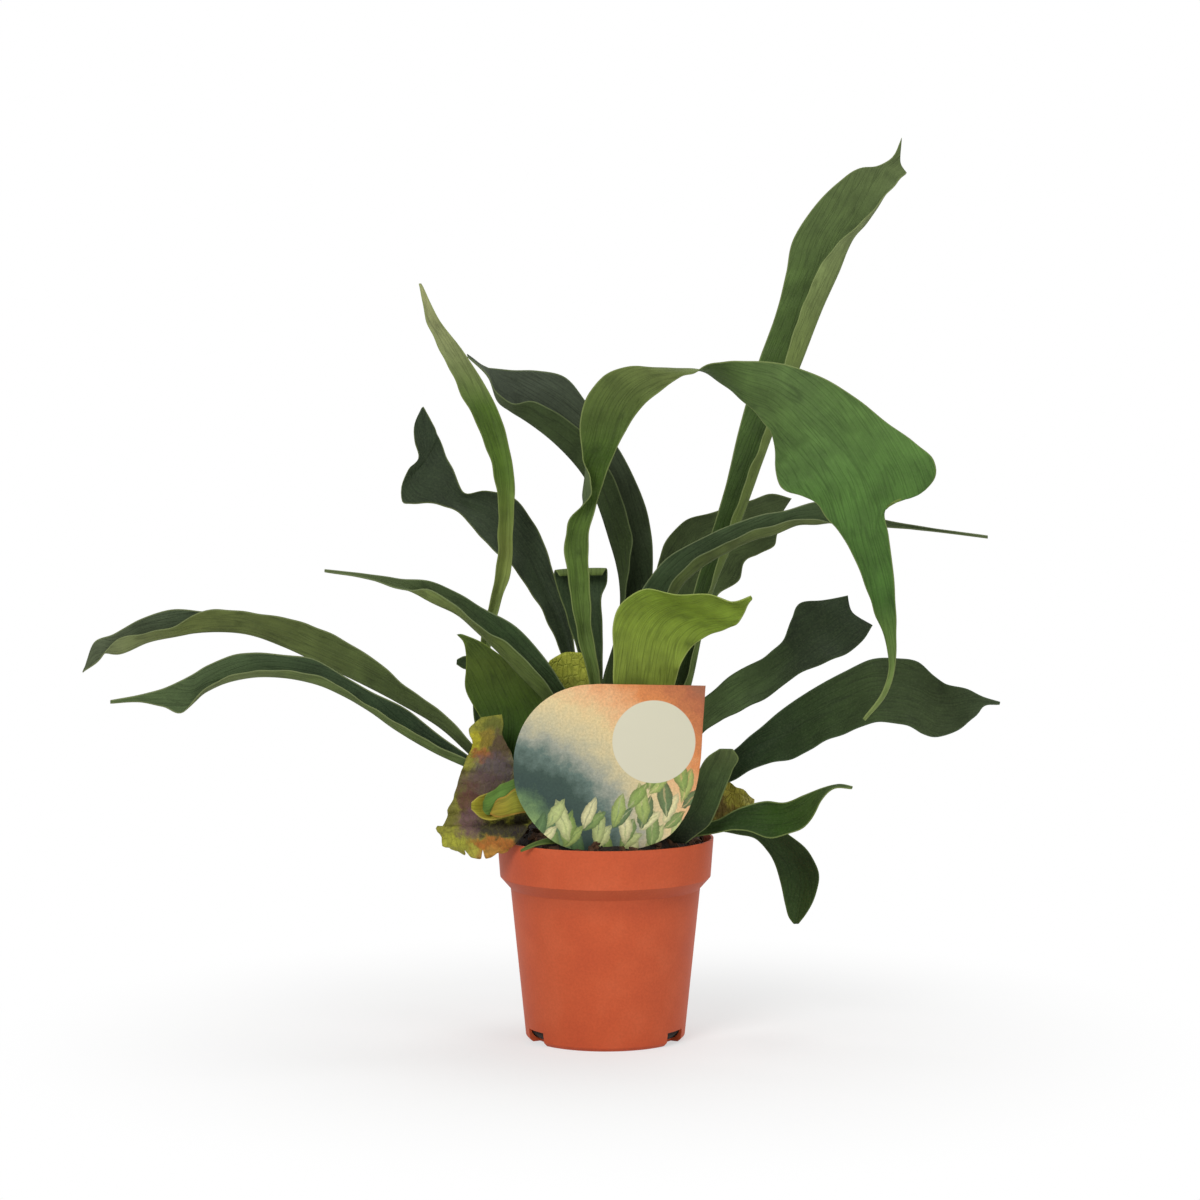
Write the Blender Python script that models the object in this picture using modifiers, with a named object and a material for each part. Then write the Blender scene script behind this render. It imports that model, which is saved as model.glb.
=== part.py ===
"""A young staghorn fern, with its plant label, in a 120 mm plastic nursery pot.

World frame: metres, +Z up, the pot's underside on z = 0, the pot's axis on Z, and the
label facing -Y. Below, lengths are millimetres and S turns them to metres.

Every frond is a loft over three rails: one margin, the midrib and the other margin. The rails
are drawn in a front elevation, as (x, z) read on the plane y = 0 by an eye at EYE, and each
station adds a depth y. carried() takes a rail point along its line of sight to that depth, so
moving a frond nearer or farther leaves the front elevation as it is.
"""
import math

import bmesh
import bpy
import numpy as np
from mathutils import Matrix, Vector

S = 0.001                      # millimetres to metres
EYE = (-3.0, -1750.0, 346.0)   # the eye of the front elevation
GAP = 0.4                      # between pieces that touch
WELD = 0.05                    # points nearer than this are one point

# pot, turned about Z
POT_HEIGHT = 112.0
RIM_RADIUS = 60.0
BAND_FOOT = (58.4, 90.5)       # the band's lower outer edge: radius, height
NECK = (52.6, 84.0)            # where the slope under the band meets the body
FOOT_RADIUS = 44.2
FOOT_ROUND = 3.0
ROUND_SHARE = 1.0 - math.sqrt(0.5)   # how far an arc's middle is from each edge of its corner
WALL = 1.4
LIP = 0.5                      # roundness of the rim's edges
FLOOR = 1.8
POT_STEPS = 56

# drainage slots, cut through the corner of wall and floor
SLOT_COUNT = 3
SLOT_WIDTH = 16.0
SLOT_HEIGHT = 7.5
SLOT_INNER_RADIUS = 37.0
SLOT_FIRST_ANGLE = math.radians(90.0)

# potting mix: radius and height of its top, from the wall to the axis
MIX_TOP = ((56.2, 105.0), (53.5, 110.5), (48.0, 115.5), (38.0, 120.0), (20.0, 123.0), (0.0, 123.6))
MIX_STEPS = 32

# label: a flat plate in the plane y = LABEL_Y, with a stake that goes down into the mix
LABEL_Y = -49.6
LABEL_THICKNESS = 0.6
LABEL_CORNER = (53.8, 200.3)
LABEL_ROUND = (                # the rest of the outline as (x, z), clockwise from the corner
    (52.4, 180.0), (50.9, 157.5), (48.5, 144.0), (43.6, 131.0), (33.9, 118.8), (20.0, 112.8),
    (0.0, 110.8), (-14.0, 111.0), (-24.5, 114.0), (-34.0, 120.6), (-42.0, 130.3), (-47.7, 141.5),
    (-49.6, 155.0), (-48.5, 167.5), (-43.8, 180.0), (-36.0, 189.8), (-26.0, 196.6),
    (-15.0, 200.2), (-4.0, 201.2))
LABEL_STEPS = 2
STAKE_X = -4.0
STAKE_HALF_WIDTH = 8.0
STAKE_TIP_HALF_WIDTH = 2.0
STAKE_SHOULDER = 90.0
STAKE_TIP = 76.0
STAKE_TOP = 112.0              # the stake runs into the round body below this height
LABEL_SUNK_HALF_WIDTH = 30.0   # of the slit that the round body's lower edge sits in

FROND_THICKNESS = 0.9
ACROSS = (-1.0, -0.55, 0.0, 0.55, 1.0)   # places of the mesh lines between the margins
FOLD = 0.35                              # roundness of the fold along the midrib
SWEEP_CURVE = 1.5                        # a sweep starts slowly at the base
ROLL_START = 0.3                         # share of the length over which a roll sets in

# colours: linear red, green, blue, then roughness
TERRACOTTA = (0.52, 0.10, 0.037, 0.55)
PEAT = (0.018, 0.011, 0.007, 0.95)
RHIZOME = (0.10, 0.055, 0.025, 0.9)
CARD = (0.72, 0.58, 0.42, 0.5)
DEEP_GREEN = (0.022, 0.062, 0.020, 0.6)
GREEN = (0.045, 0.11, 0.022, 0.6)
YOUNG_GREEN = (0.17, 0.26, 0.035, 0.6)
SHIELD_YELLOW = (0.35, 0.33, 0.04, 0.7)
SHIELD_BROWN = (0.10, 0.055, 0.035, 0.8)

# A frond is its look, its mesh steps between stations, its sweep, its roll and its stations.
# sweep is how far its tip leans to the back, or to the front if negative. roll tips the blade
# about its length: how much deeper margin B gets than margin A, as a share of the width.
#
# A station is (ax, az, bx, bz, depth, turn, cup) for a blade whose midrib lies midway, or
# (ax, az, mx, mz, bx, bz, depth, turn, cup) for a folded one. depth is the y of the margins,
# turn how much deeper margin B is than margin A, and cup how much deeper the midrib is.
# Stations run from the base to the tip.
FRONDS = {
    "arching_frond": (GREEN, 1, -75.0, 0.0, (
        (4, 139, -2, 139, -15, 0, 1),
        (1, 168, -6, 168, -22, 0, 1.5),
        (-3, 200, -9.5, 200, -26, 0, 2),
        (-7, 225, -15.5, 225, -27, 0, 2.5),
        (-9, 255, -20.5, 255, -27, 0, 3),
        (-9, 280, -22, 279, -27, 0, 3),
        (-7, 290, -12.8, 289.5, -19.5, 289, -28, -1, 3),
        (-5, 297, -11.5, 296, -12.5, 296, -29, -5, 4),
        (-3.4, 302, -12.3, 301, -7.5, 302, -30, -9, 5),
        (-1.8, 306.5, -11.4, 307.5, -8, 309, -31, -8, 5),
        (1.8, 317, -9.2, 317, -11, 318, -32, -4, 4),
        (7.5, 330, -3, 330.5, -13.6, 330, -33, 0, 3),
        (14, 342, 0.5, 344, -13.6, 344, -34, 0, 3),
        (20, 350, 6, 355, -8.5, 358, -36, 2, 3),
        (26, 355.5, 13, 363, 0, 367.5, -38, 6, 3),
        (33, 361, 22, 368, 12, 372, -40, 9, 2),
        (41, 366.3, 35, 369, 29, 371.3, -43, 13, 0),
        (50, 369.2, 49, 370.2, 48, 371.2, -47, 18, 0),
        (61, 374.4, 62, 369, 62.5, 363.5, -51, 17, 0),
        (78, 375, 78, 362, 76.5, 352.5, -54, 13, -2),
        (98, 373.3, 93, 357, 87.5, 341.5, -57, 9, -4),
        (119, 366, 106, 347, 92.5, 331, -60, 7, -5),
        (138, 354.5, 116, 337, 94, 318, -62, 5, -6),
        (155, 341.5, 124, 327, 95, 309.5, -64, 4, -6),
        (171, 329.5, 131, 316, 100, 303.5, -66, 4, -6),
        (180.5, 321, 136, 307, 109, 300.7, -67, 4, -5),
        (181.5, 311, 139, 299, 116.5, 296.8, -67, 4, -4),
        (172, 301.2, 141, 293, 122, 289, -67, 3, -3),
        (160.5, 298.8, 143, 286, 127, 284, -67, 3, -3),
        (154.5, 293, 144.5, 279, 132, 276.5, -67, 2, -2.5),
        (156, 279.5, 147, 270, 138, 265.5, -66, 2, -2),
        (159, 257, 151, 255, 143.5, 251.5, -65, 2, -2),
        (160.5, 235, 154.5, 235, 149.5, 235.5, -64, 2, -2),
        (160.6, 214, 158, 214.5, 155.8, 216, -62, 1, -1),
        (159.5, 203, 158, 203.8, 156.8, 205, -61, 1, -0.5),
        (155.8, 191.8, 154.8, 192.5, 153.6, 193.3, -60, 0, 0),
        (143.8, 176.6, 143.2, 177.1, 142.6, 177.6, -58, 0, 0),
    )),
    "tall_frond": (DEEP_GREEN, 1, 85.0, -0.2, (
        (21, 139, 27, 139, 24, 138.5, 5, -1, 2),
        (34, 190, 45, 190, 42, 190.5, 9, -3, 2),
        (50, 252, 59, 249, 57, 249, 12, -5, 3),
        (58.5, 280, 71, 278, 67, 280, 14, -6, 4),
        (66, 305, 80, 303, 75.5, 304, 17, -7, 4),
        (73.5, 337, 91.5, 336, 87.5, 336, 20, -7, 4),
        (84.5, 375, 107, 374, 99, 376, 24, -7, 4),
        (95, 405, 119.5, 406, 109.5, 408, 27, -7, 4),
        (99.5, 424, 127.5, 424, 117, 425, 29, -7, 4),
        (103, 441, 134.5, 442, 127, 439, 31, -7, 4),
        (113, 457.5, 142, 452, 139, 450, 33, -5, 3),
        (128, 473, 149, 464, 150.5, 461.5, 35, -3, 2),
        (141, 481, 154, 474, 158.5, 471.5, 37, -1, 1),
        (150.5, 482, 157, 479, 162, 475.5, 38, 0, 0),
        (157, 486, 159.5, 480.5, 164, 477, 38, 0, 0),
        (162.2, 497, 161.5, 484, 165, 478.2, 38, 0, 0),
    )),
    "folded_frond": (DEEP_GREEN, 1, -35.0, 0.2, (
        (8, 139, 4, 139, 11, 139, 4, 2, 1),
        (9, 172, -3, 172, 18, 171, 6, 4, 3),
        (10, 198, -1, 198, 22, 197, 7, 6, 4),
        (10.5, 222, 6, 222, 24, 221, 7, 7, 4),
        (11, 245, 9.3, 243, 24.8, 243, 7, 9, 3),
        (13.5, 265, 6.7, 263, 26, 265, 7, 11, 3),
        (14.5, 279, 2.5, 277, 25.2, 280, 7, 12, 3),
        (11.5, 292, -1.7, 290.5, 22.3, 294, 6, 12, 3),
        (6, 307, -6.5, 303, 16.5, 309, 6, 11, 4),
        (0, 319, -11.5, 312, 8, 325.5, 5, 11, 4),
        (-8, 331, -16, 318, -1, 338, 5, 11, 4),
        (-17, 340, -23, 326, -11, 353, 5, 11, 4),
        (-29, 348, -32, 334.5, -23, 366.5, 5, 11, 4),
        (-40, 352.5, -41.5, 341.5, -38, 369.7, 5, 11, 4),
        (-52, 352.5, -52, 348.5, -52, 370, 4, 10, 4),
        (-59.5, 357.5, -59, 353.5, -61, 371, 3, 8, 3),
        (-65, 367.5, -64, 366, -67, 372.4, 2, 4, 1),
        (-76, 377.4, -75.6, 378, -76, 378.9, 1, 0, 0),
    )),
    "upright_frond": (GREEN, 1, 45.0, 0.5, (
        (-64, 158, -58, 158, 4, 0, 1),
        (-68, 192, -62, 191, 8, 0, 1.5),
        (-69, 220, -63.5, 219, 11, 0, 2),
        (-64.5, 240, -58.5, 240, 12, 0, 2),
        (-60, 262, -52.6, 259, 12, 0, 3),
        (-59, 286, -51, 284, 12, 0, 3),
        (-61, 312, -50.4, 310, 13, 0, 3),
        (-70, 338, -56, 339, 14, 0, 4),
        (-83, 365, -67, 363, 17, 0, 4),
        (-91, 381, -79.5, 382, 19, 0, 3),
        (-98, 397, -91, 397, 21, 0, 2),
        (-102.4, 417.5, -101.2, 417.5, 24, 0, 0),
    )),
    "forked_frond": (DEEP_GREEN, 1, 60.0, 0.25, (
        (-15, 140, -9, 138, 13, 0, 1),
        (-19, 182, -11, 180, 18, 0, 2),
        (-24.5, 214, -16.5, 213, 22, 1, 2),
        (-31.5, 230, -20, 232, 22, 2, 3),
        (-40, 246, -26.5, 251, 23, 2, 4),
        (-52, 262.5, -33, 272, 23, 2, 5),
        (-64, 273.2, -40, 286.5, 24, 2, 5),
        (-73, 283.5, -52, 300.5, 25, 2, 5),
        (-78, 289, -66, 303.7, 26, 1, 5),
        (-86, 294.2, -81.5, 300, -77.5, 302.5, 27, 0, 4),
        (-98, 297.2, -91.5, 310, -84, 316, 28, 0, 3),
        (-107, 296.8, -98, 312, -88, 323, 29, 0, 2),
        (-112, 298, -101, 316, -90, 329, 29.5, 0, 1),
        (-112.4, 306, -101, 318, -91.5, 332.5, 30, 0, 1),
        (-108.5, 315.5, -99.5, 320.5, -92.8, 335, 30, 0, 0.5),
        (-102.9, 321.5, -98.6, 328.5, -94.3, 339, 30, 0, 0),
        (-105, 331, -100.3, 336, -96.2, 342.7, 30, 0, 0),
        (-105, 341, -102, 344, -98.6, 347, 30, 0, 0),
        (-101.3, 349.2, -100.3, 350, 30, 0, 0),
    )),
    "pointed_frond": (DEEP_GREEN, 1, -60.0, 0.2, (
        (-8, 141, -11, 139, -6, 141, -8, 3, 1),
        (-16, 172, -20, 168, -11, 174, -17, 4, 2),
        (-31, 194.5, -34, 188.5, -24.5, 197.5, -22, 6, 2),
        (-42, 208.5, -46, 201, -35, 213, -24, 7, 3),
        (-55, 220, -58, 214, -50, 229, -25, 8, 3),
        (-70, 229, -71, 226.5, -68, 239, -26, 8, 3),
        (-81, 239.5, -81.5, 235.5, -81, 247, -27, 7, 3),
        (-97, 248.8, -96, 242.5, -97, 253.8, -28, 5, 2),
        (-112, 249.2, -111.5, 251, -111, 255, -29, 3, 0.5),
        (-130, 254.8, -130, 257.6, -30, 1, 0),
        (-155, 259, -155, 260.4, -31, 0, 0),
    )),
    "long_frond_upper": (DEEP_GREEN, 1, 35.0, 0.0, (
        (-71, 160.5, -73, 156, -71, 159.5, -25, 3, 1),
        (-88, 179, -91, 172.5, -88, 177, -22, 5, 2),
        (-110, 195.5, -115, 187, -111, 194, -18, 7, 3),
        (-130, 212, -136, 198, -131, 210, -14, 8, 3),
        (-152, 225, -155, 207, -153, 222, -10, 9, 3),
        (-175, 233, -177, 217.5, -175, 229.5, -7, 9, 3),
        (-200, 237, -199, 225, -200, 235, -5, 9, 3),
        (-222, 237.3, -221, 226, -222, 237, -3, 9, 3),
        (-239, 229, -238, 223.7, -240, 238, -2, 9, 3),
        (-255, 224.6, -253, 220.5, -257, 232.7, -1, 8, 3),
        (-270, 221.5, -269, 213.7, -272, 224.4, 0, 6, 2),
        (-280.5, 209.9, -283, 219.5, 1, 2, 0.5),
        (-289, 203.4, -288.2, 205.4, 1, 0, 0),
    )),
    "long_frond_lower": (DEEP_GREEN, 1, -45.0, 0.0, (
        (-73, 153.5, -75, 150, -72.5, 154.5, -29, 3, 1),
        (-95, 163.5, -96, 160, -94, 170, -26, 5, 2),
        (-114, 175, -116, 172, -112, 184, -23, 6, 2),
        (-130, 184, -131, 182.8, -128, 191.7, -21, 6, 2),
        (-146, 195, -146, 191.3, -143, 200.2, -19, 6, 2),
        (-160, 202, -160, 197.3, -161, 210.5, -18, 7, 2),
        (-178, 204, -178, 201, -177, 212.8, -17, 7, 3),
        (-195, 204.3, -196, 201.2, -195, 214.2, -16, 7, 3),
        (-210, 200.5, -211, 198, -208, 212.3, -16, 7, 2),
        (-221, 194.5, -221.5, 193.2, -220, 207.2, -16, 6, 2),
        (-233.5, 181.2, -229.5, 188.5, -229, 201.7, -16, 5, 2),
        (-245, 184.6, -243, 189, -243, 195, -16, 3, 1),
        (-258, 186.9, -257, 188.5, -257, 191, -16, 1, 0),
        (-274, 186.2, -274, 187, -274, 187.8, -16, 0, 0),
    )),
    "broad_back_frond": (DEEP_GREEN, 2, 55.0, 0.3, (
        (22, 139, 28, 139, 15, 0, 1),
        (25, 190, 38, 188, 24, 0, 4),
        (27, 235, 54, 226, 30, 0, 7),
        (28.5, 262, 63, 247.5, 33, 0, 8),
        (33.5, 275.5, 73.5, 254, 35, 0, 8),
        (43, 286.5, 76.5, 264.5, 36, 0, 8),
        (60, 292.3, 85, 269.3, 37, 0, 7),
        (78, 298, 79, 284, 93, 273.5, 38, 0, 6),
        (92, 301.7, 90, 287, 94.5, 280, 38, 0, 3),
        (102.5, 299.5, 97, 291, 96, 284, 38, 0, 1),
    )),
    "long_thin_frond": (DEEP_GREEN, 1, -25.0, -0.2, (
        (13, 139.5, 18, 138, 17, 139, -8, -2, 1),
        (12, 195, 24, 192, 20, 193, -11, -4, 2),
        (15, 238, 33, 232, 29, 234, -12, -6, 3),
        (24.5, 255.5, 42, 252, 37.5, 254, -13, -7, 3),
        (34, 266.5, 52, 261.3, 47, 264, -14, -7, 3),
        (50, 276, 66, 269.7, 62, 273, -14, -7, 3),
        (66, 283.5, 80, 276.5, 77, 280, -15, -6, 3),
        (85, 290.2, 94, 280.5, 92, 284.5, -16, -5, 3),
        (100, 293, 106, 285.3, 105, 288, -17, -4, 2),
        (116, 297.5, 117, 286, 116.5, 288, -18, -4, 2),
        (134, 293.5, 134, 284.6, -19, -2, 1),
        (156, 287.3, 157, 283.6, -20, -1, 0.5),
        (175, 284, 175, 282, -21, 0, 0),
        (211, 279, 211, 277.6, -22, 0, 0),
    )),
    "young_frond": (YOUNG_GREEN, 2, -35.0, 0.25, (
        (11, 139, 17, 139, -18, 0, 1),
        (5.5, 170, 29, 168, -29, 0, 2),
        (4.5, 200, 38.5, 197.5, -34, 0, 4),
        (4.7, 216, 42, 209, -36, 0, 5),
        (4, 229, 48, 218, -37, 0, 5),
        (10, 243, 57, 224, -38, 0, 5),
        (22, 249.2, 66, 227, -39, 0, 4),
        (40, 246, 73, 231, -40, 0, 3),
        (58, 247.2, 76.5, 236, -40, 0, 2),
        (69.5, 242.2, 78.5, 240.5, -41, 0, 1),
        (80.3, 245.8, 81, 244, -42, 0, 0),
    )),
    "right_frond_upper": (DEEP_GREEN, 2, 45.0, -0.35, (
        (22, 141, 27, 137, -3, 0, 1),
        (42, 177, 48, 164, -2, 0, 3),
        (56, 190, 60, 174.5, 0, 0, 4),
        (72, 203.2, 76, 182.5, 1, 0, 4),
        (88, 212, 92, 191.5, 2, 0, 4),
        (98.5, 221.5, 108, 203, 3, 0, 4),
        (103, 233, 122, 209, 3, 0, 4),
        (107.5, 241.5, 122, 227, 133, 214, 4, 0, 3),
        (119, 243.2, 129, 233, 142, 221, 4, 0, 1),
        (134, 246, 136.5, 236.5, 147.5, 229.5, 4, 0, 0),
    )),
    "right_frond_lower": (DEEP_GREEN, 1, -50.0, -0.45, (
        (52, 146, 56, 138, -9, 0, 2),
        (66, 156, 70, 143, -10, 0, 3),
        (81, 168.5, 86, 152, -11, 0, 4),
        (97, 182, 103, 155, -12, 0, 5),
        (115, 194.2, 121, 165, -13, 0, 5),
        (132, 203.5, 138, 171.5, -14, 0, 5),
        (148, 210.7, 152, 176, -15, 0, 4),
        (161, 211, 166, 174.3, -16, 0, 4),
        (173, 209, 176, 169.3, -16, 0, 4),
        (181.5, 201.5, 184, 167.4, -17, 0, 4),
        (188, 197, 195.5, 171.5, -17, 0, 3),
        (200, 194, 204, 179, -18, 0, 2),
        (210, 189.3, 210, 185, -18, 0, 0),
        (218.4, 186.9, 218, 185.5, -19, 0, 0),
    )),
    "low_right_frond": (GREEN, 2, -35.0, -0.3, (
        (50, 119, 53, 112.5, -26, -3, 1),
        (62, 121.5, 65, 114.5, -27, -3, 2),
        (75, 128, 78, 115.5, -27, -3, 3),
        (88, 131.5, 91, 111.5, -27, -3, 3),
        (100, 131, 105, 114.5, -28, -3, 3),
        (110, 135, 114, 121, -29, -2, 2),
        (120, 139, 119.5, 132, -30, -1, 1),
        (130, 141.3, 127, 139, -30, 0, 0),
        (137, 139.9, 136.4, 138.5, -30, 0, 0),
    )),
    "drooping_frond": (DEEP_GREEN, 2, 20.0, 0.3, (
        (60, 121, 61, 115.5, -7, 0, 1),
        (78, 121, 76, 113, -7, 0, 2),
        (97, 116, 84, 110.5, -7, 0, 2),
        (109, 107, 90, 104, -8, 0, 3),
        (117.3, 96, 94.5, 96, -8, 0, 3),
        (118.6, 88, 97.5, 86, -9, 0, 3),
        (114.5, 75, 100, 74, -10, 0, 3),
        (110.3, 67, 102.3, 66.5, -11, 0, 1),
        (107.2, 63.3, 104.8, 63.3, -11, 0, 0),
    )),
    "front_right_frond": (GREEN, 2, 0.0, 0.2, (
        (31, 114, 50, 112.5, -38, 0, 2),
        (36, 119, 57, 118, -40, 0, 2),
        (43, 127, 61.5, 126.5, -42, 0, 3),
        (48.5, 138, 66, 138, -43, 0, 3),
        (52.5, 150, 70.5, 149.5, -43, 0, 3),
        (57.5, 157, 73.6, 156, -44, 0, 2),
        (63, 160.8, 70.5, 160.8, -44, 0, 1),
    )),
    "broad_left_frond": (GREEN, 2, 8.0, -0.25, (
        (-58, 151, -50, 150, -10, 0, 1),
        (-63, 168, -38, 166, -11, 0, 2),
        (-70, 180, -32, 183, -12, 0, 3),
        (-77, 193, -36, 192.5, -12, 0, 3),
        (-77, 205, -47, 205, -12, 0, 3),
        (-77, 214, -60, 214.5, -12, 0, 2),
        (-78.5, 220.5, -70, 221, -12, 0, 1),
        (-82, 224.4, -79.2, 224.6, -12, 0, 0),
    )),
    "small_left_frond": (DEEP_GREEN, 2, 15.0, 0.0, (
        (-70, 160, -66, 159, 0, 0, 0.5),
        (-73, 182, -68, 184, -1, 0, 1),
        (-73.5, 198, -68, 202, -2, 0, 1),
        (-75, 204.5, -73, 211, -2, 0, 1),
        (-79, 205.8, -78, 212.3, -2, 0, 0.5),
        (-82.3, 208, -82, 210.5, -2, 0, 0),
    )),
    "curled_frond": (DEEP_GREEN, 2, 16.0, 0.2, (
        (-6, 139, 0, 139, 8, 0, 1),
        (-11, 185, -2, 185, 15, 0, 1.5),
        (-15, 213, -1.6, 213, 17, 0, 2),
        (-20, 230, -1.8, 230, 17, 0, 2),
        (-25, 246, -2, 246, 17, 0, 3),
        (-28.3, 256.5, 0.8, 254, 16, 0, 3),
        (-27.5, 260.3, 0.5, 261, 12, 0, 2),
        (-25, 257, -2, 257, 8.5, 0, 2),
    )),
    "shield_centre": (SHIELD_YELLOW, 2, 0.0, 0.0, (
        (-13, 140, -5, 140, 1, 0, 1),
        (-27, 155, -2, 155, 2, 0, 3),
        (-36, 175, -3, 175, 3, 0, 4),
        (-37, 190, -5, 192, 3, 0, 3),
        (-35.5, 201, -8, 205, 3, 0, 2),
        (-31, 210, -22, 214.5, -10.5, 214, 3, 0, 1),
    )),
    "shield_left": (SHIELD_BROWN, 2, 0.0, 0.0, (
        (-57.5, 180, -68.5, 178.5, -27, 0, 0.5),
        (-56.6, 175, -75.3, 172.3, -29, 0, 1),
        (-57, 168.5, -74.8, 168, -32, 0, 2),
        (-54.5, 162.5, -73.5, 162.5, -34, 0, 2),
        (-51, 156, -76.6, 156, -34, 2, 1),
        (-46.5, 148, -79.8, 148.5, -33, 4, 0),
        (-43.5, 138.5, -82.8, 138.5, -31, 6, -1),
        (-41.5, 129, -86, 129, -30, 8, -2),
        (-41, 121, -88.8, 121, -30, 10, -3),
        (-45, 114, -93.3, 116.5, -34, 14, -3),
        (-49.5, 108.5, -90.3, 109.5, -34, 13, -3),
        (-54.5, 103, -69, 99.5, -84.5, 103.5, -32, 13, -3),
    )),
    "bud_frond": (YOUNG_GREEN, 2, 0.0, 0.0, (
        (-46, 143.5, -46, 126, -39, -2, 2),
        (-55, 141.5, -54, 123.4, -40, -2, 3),
        (-63, 137, -63.5, 121.4, -40, -2, 3),
        (-70, 134, -70, 123.2, -40, -1, 2),
        (-74.2, 131, -74.4, 127.5, -40, 0, 0),
    )),
    "shield_right": (SHIELD_YELLOW, 2, 0.0, 0.0, (
        (57, 139, 57, 121, 1, 0, 1),
        (65, 143, 64, 119, 2, 0, 2),
        (73, 139.7, 74, 121, 3, 0, 2),
        (79, 135, 79.5, 125, 3, 0, 1),
        (82.7, 132.6, 82.3, 128.6, 3, 0, 0),
    )),
    "rim_leaf": (GREEN, 2, 0.0, 0.0, (
        (-30, 111.5, -30, 108, -43, -2, 0),
        (-36, 110, -37, 107.2, -45, -2, 0),
        (-42, 107.6, -42, 105.4, -46.5, -1, 0),
        (-47.2, 104.6, -47, 103.4, -46, 0, 0),
    )),
}

# rhizomes: short creeping stems under the fronds, as centre, half lengths and lean about Y
RHIZOMES = {
    "rhizome_centre": ((10.0, 2.0, 131.2), (23.0, 13.0, 6.6), 0.0),
    "rhizome_left": ((-51.0, -2.0, 137.5), (20.5, 5.5, 5.5), -46.0),
    "rhizome_right": ((43.5, -8.0, 130.5), (12.5, 5.0, 5.0), -42.0),
    "crown_bud": ((-66.0, -26.5, 148.5), (3.5, 3.5, 5.5), 0.0),
}
RHIZOME_RINGS = 2              # subdivisions of the ball each one starts from


def material(name, look):
    """A Principled material from linear red, green, blue and a roughness."""
    made = bpy.data.materials.new(name)
    made.use_nodes = True
    shader = made.node_tree.nodes["Principled BSDF"]
    shader.inputs["Base Color"].default_value = (*look[:3], 1.0)
    shader.inputs["Roughness"].default_value = look[3]
    shader.inputs["Metallic"].default_value = 0.0
    made.diffuse_color = (*look[:3], 1.0)
    return made


def add_object(name, mesh, look, collection):
    """Put a mesh in the collection as a named object with its own material."""
    made = bpy.data.objects.new(name, mesh)
    collection.objects.link(made)
    if look is not None:
        mesh.materials.append(material(name, look))
    return made


def carried(x, y, z):
    """Carry a point of the front elevation along its line of sight to depth y."""
    reach = 1.0 - y / EYE[1]
    return EYE[0] + (x - EYE[0]) * reach, y, EYE[2] + (z - EYE[2]) * reach


def rails_of(stations, sweep, roll):
    """The margin, midrib and other margin at each station, as an array of points."""
    outlines = []
    for *outline, depth, turn, cup in stations:
        if len(outline) == 4:
            ax, az, bx, bz = outline
            outline = (ax, az, (ax + bx) / 2.0, (az + bz) / 2.0, bx, bz)
        outlines.append(outline)
    middles = np.array(outlines)[:, 2:4]
    lengths = np.concatenate([[0.0], np.cumsum(np.linalg.norm(np.diff(middles, axis=0), axis=1))])
    rails = []
    for (ax, az, mx, mz, bx, bz), station, share in zip(outlines, stations, lengths / lengths[-1]):
        depth, turn, cup = station[-3:]
        depth += sweep * share ** SWEEP_CURVE
        turn += roll * math.hypot(bx - ax, bz - az) * min(1.0, share / ROLL_START)
        rails.append((carried(ax, depth - turn / 2.0, az), carried(mx, depth + cup, mz),
                      carried(bx, depth + turn / 2.0, bz)))
    return np.array(rails)


def smooth(rows, steps):
    """Smooth curves through rows of points, one curve for each place in a row.

    Each curve is a cubic between rows, with the slope of the parabola through a row and its two
    neighbours. The knots are spaced by the mean distance between rows.
    """
    spans = np.linalg.norm(np.diff(rows, axis=0), axis=2).mean(axis=1)[:, None, None]
    chords = np.diff(rows, axis=0) / spans
    slopes = np.empty_like(rows)
    slopes[1:-1] = (chords[:-1] * spans[1:] + chords[1:] * spans[:-1]) / (spans[1:] + spans[:-1])
    slopes[0], slopes[-1] = chords[0], chords[-1]
    out = []
    for i, span in enumerate(spans):
        for t in np.arange(steps) / steps:
            out.append(rows[i] * (1 + 2 * t) * (1 - t) ** 2 + rows[i + 1] * t * t * (3 - 2 * t)
                       + span * (slopes[i] * t * (1 - t) ** 2 - slopes[i + 1] * t * t * (1 - t)))
    out.append(rows[-1])
    return out


def across_blade(rails, u):
    """A point of the blade: u is -1 on the first margin, 0 on the midrib and 1 on the other."""
    first, rib, second = rails
    bend = (math.hypot(u, FOLD) - FOLD) / (math.hypot(1.0, FOLD) - FOLD)
    return rib + u * (second - first) / 2.0 + bend * ((first + second) / 2.0 - rib)


def frond(name, look, steps, sweep, roll, stations, collection):
    """A blade: a grid moved onto the loft of its rails, made solid."""
    rows = smooth(rails_of(stations, sweep, roll), steps)
    mesh = bpy.data.meshes.new(name)
    grid = bmesh.new()
    bmesh.ops.create_grid(grid, x_segments=len(ACROSS) - 1, y_segments=len(rows) - 1, size=1.0)
    for vertex in grid.verts:
        column = round((vertex.co.x + 1.0) / 2.0 * (len(ACROSS) - 1))
        row = round((vertex.co.y + 1.0) / 2.0 * (len(rows) - 1))
        vertex.co = Vector(across_blade(rows[row], ACROSS[column])) * S
    grid.to_mesh(mesh)
    grid.free()
    mesh.shade_smooth()
    made = add_object(name, mesh, look, collection)
    solid = made.modifiers.new("thickness", "SOLIDIFY")
    solid.thickness = FROND_THICKNESS * S
    solid.offset = 0.0
    return made


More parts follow.
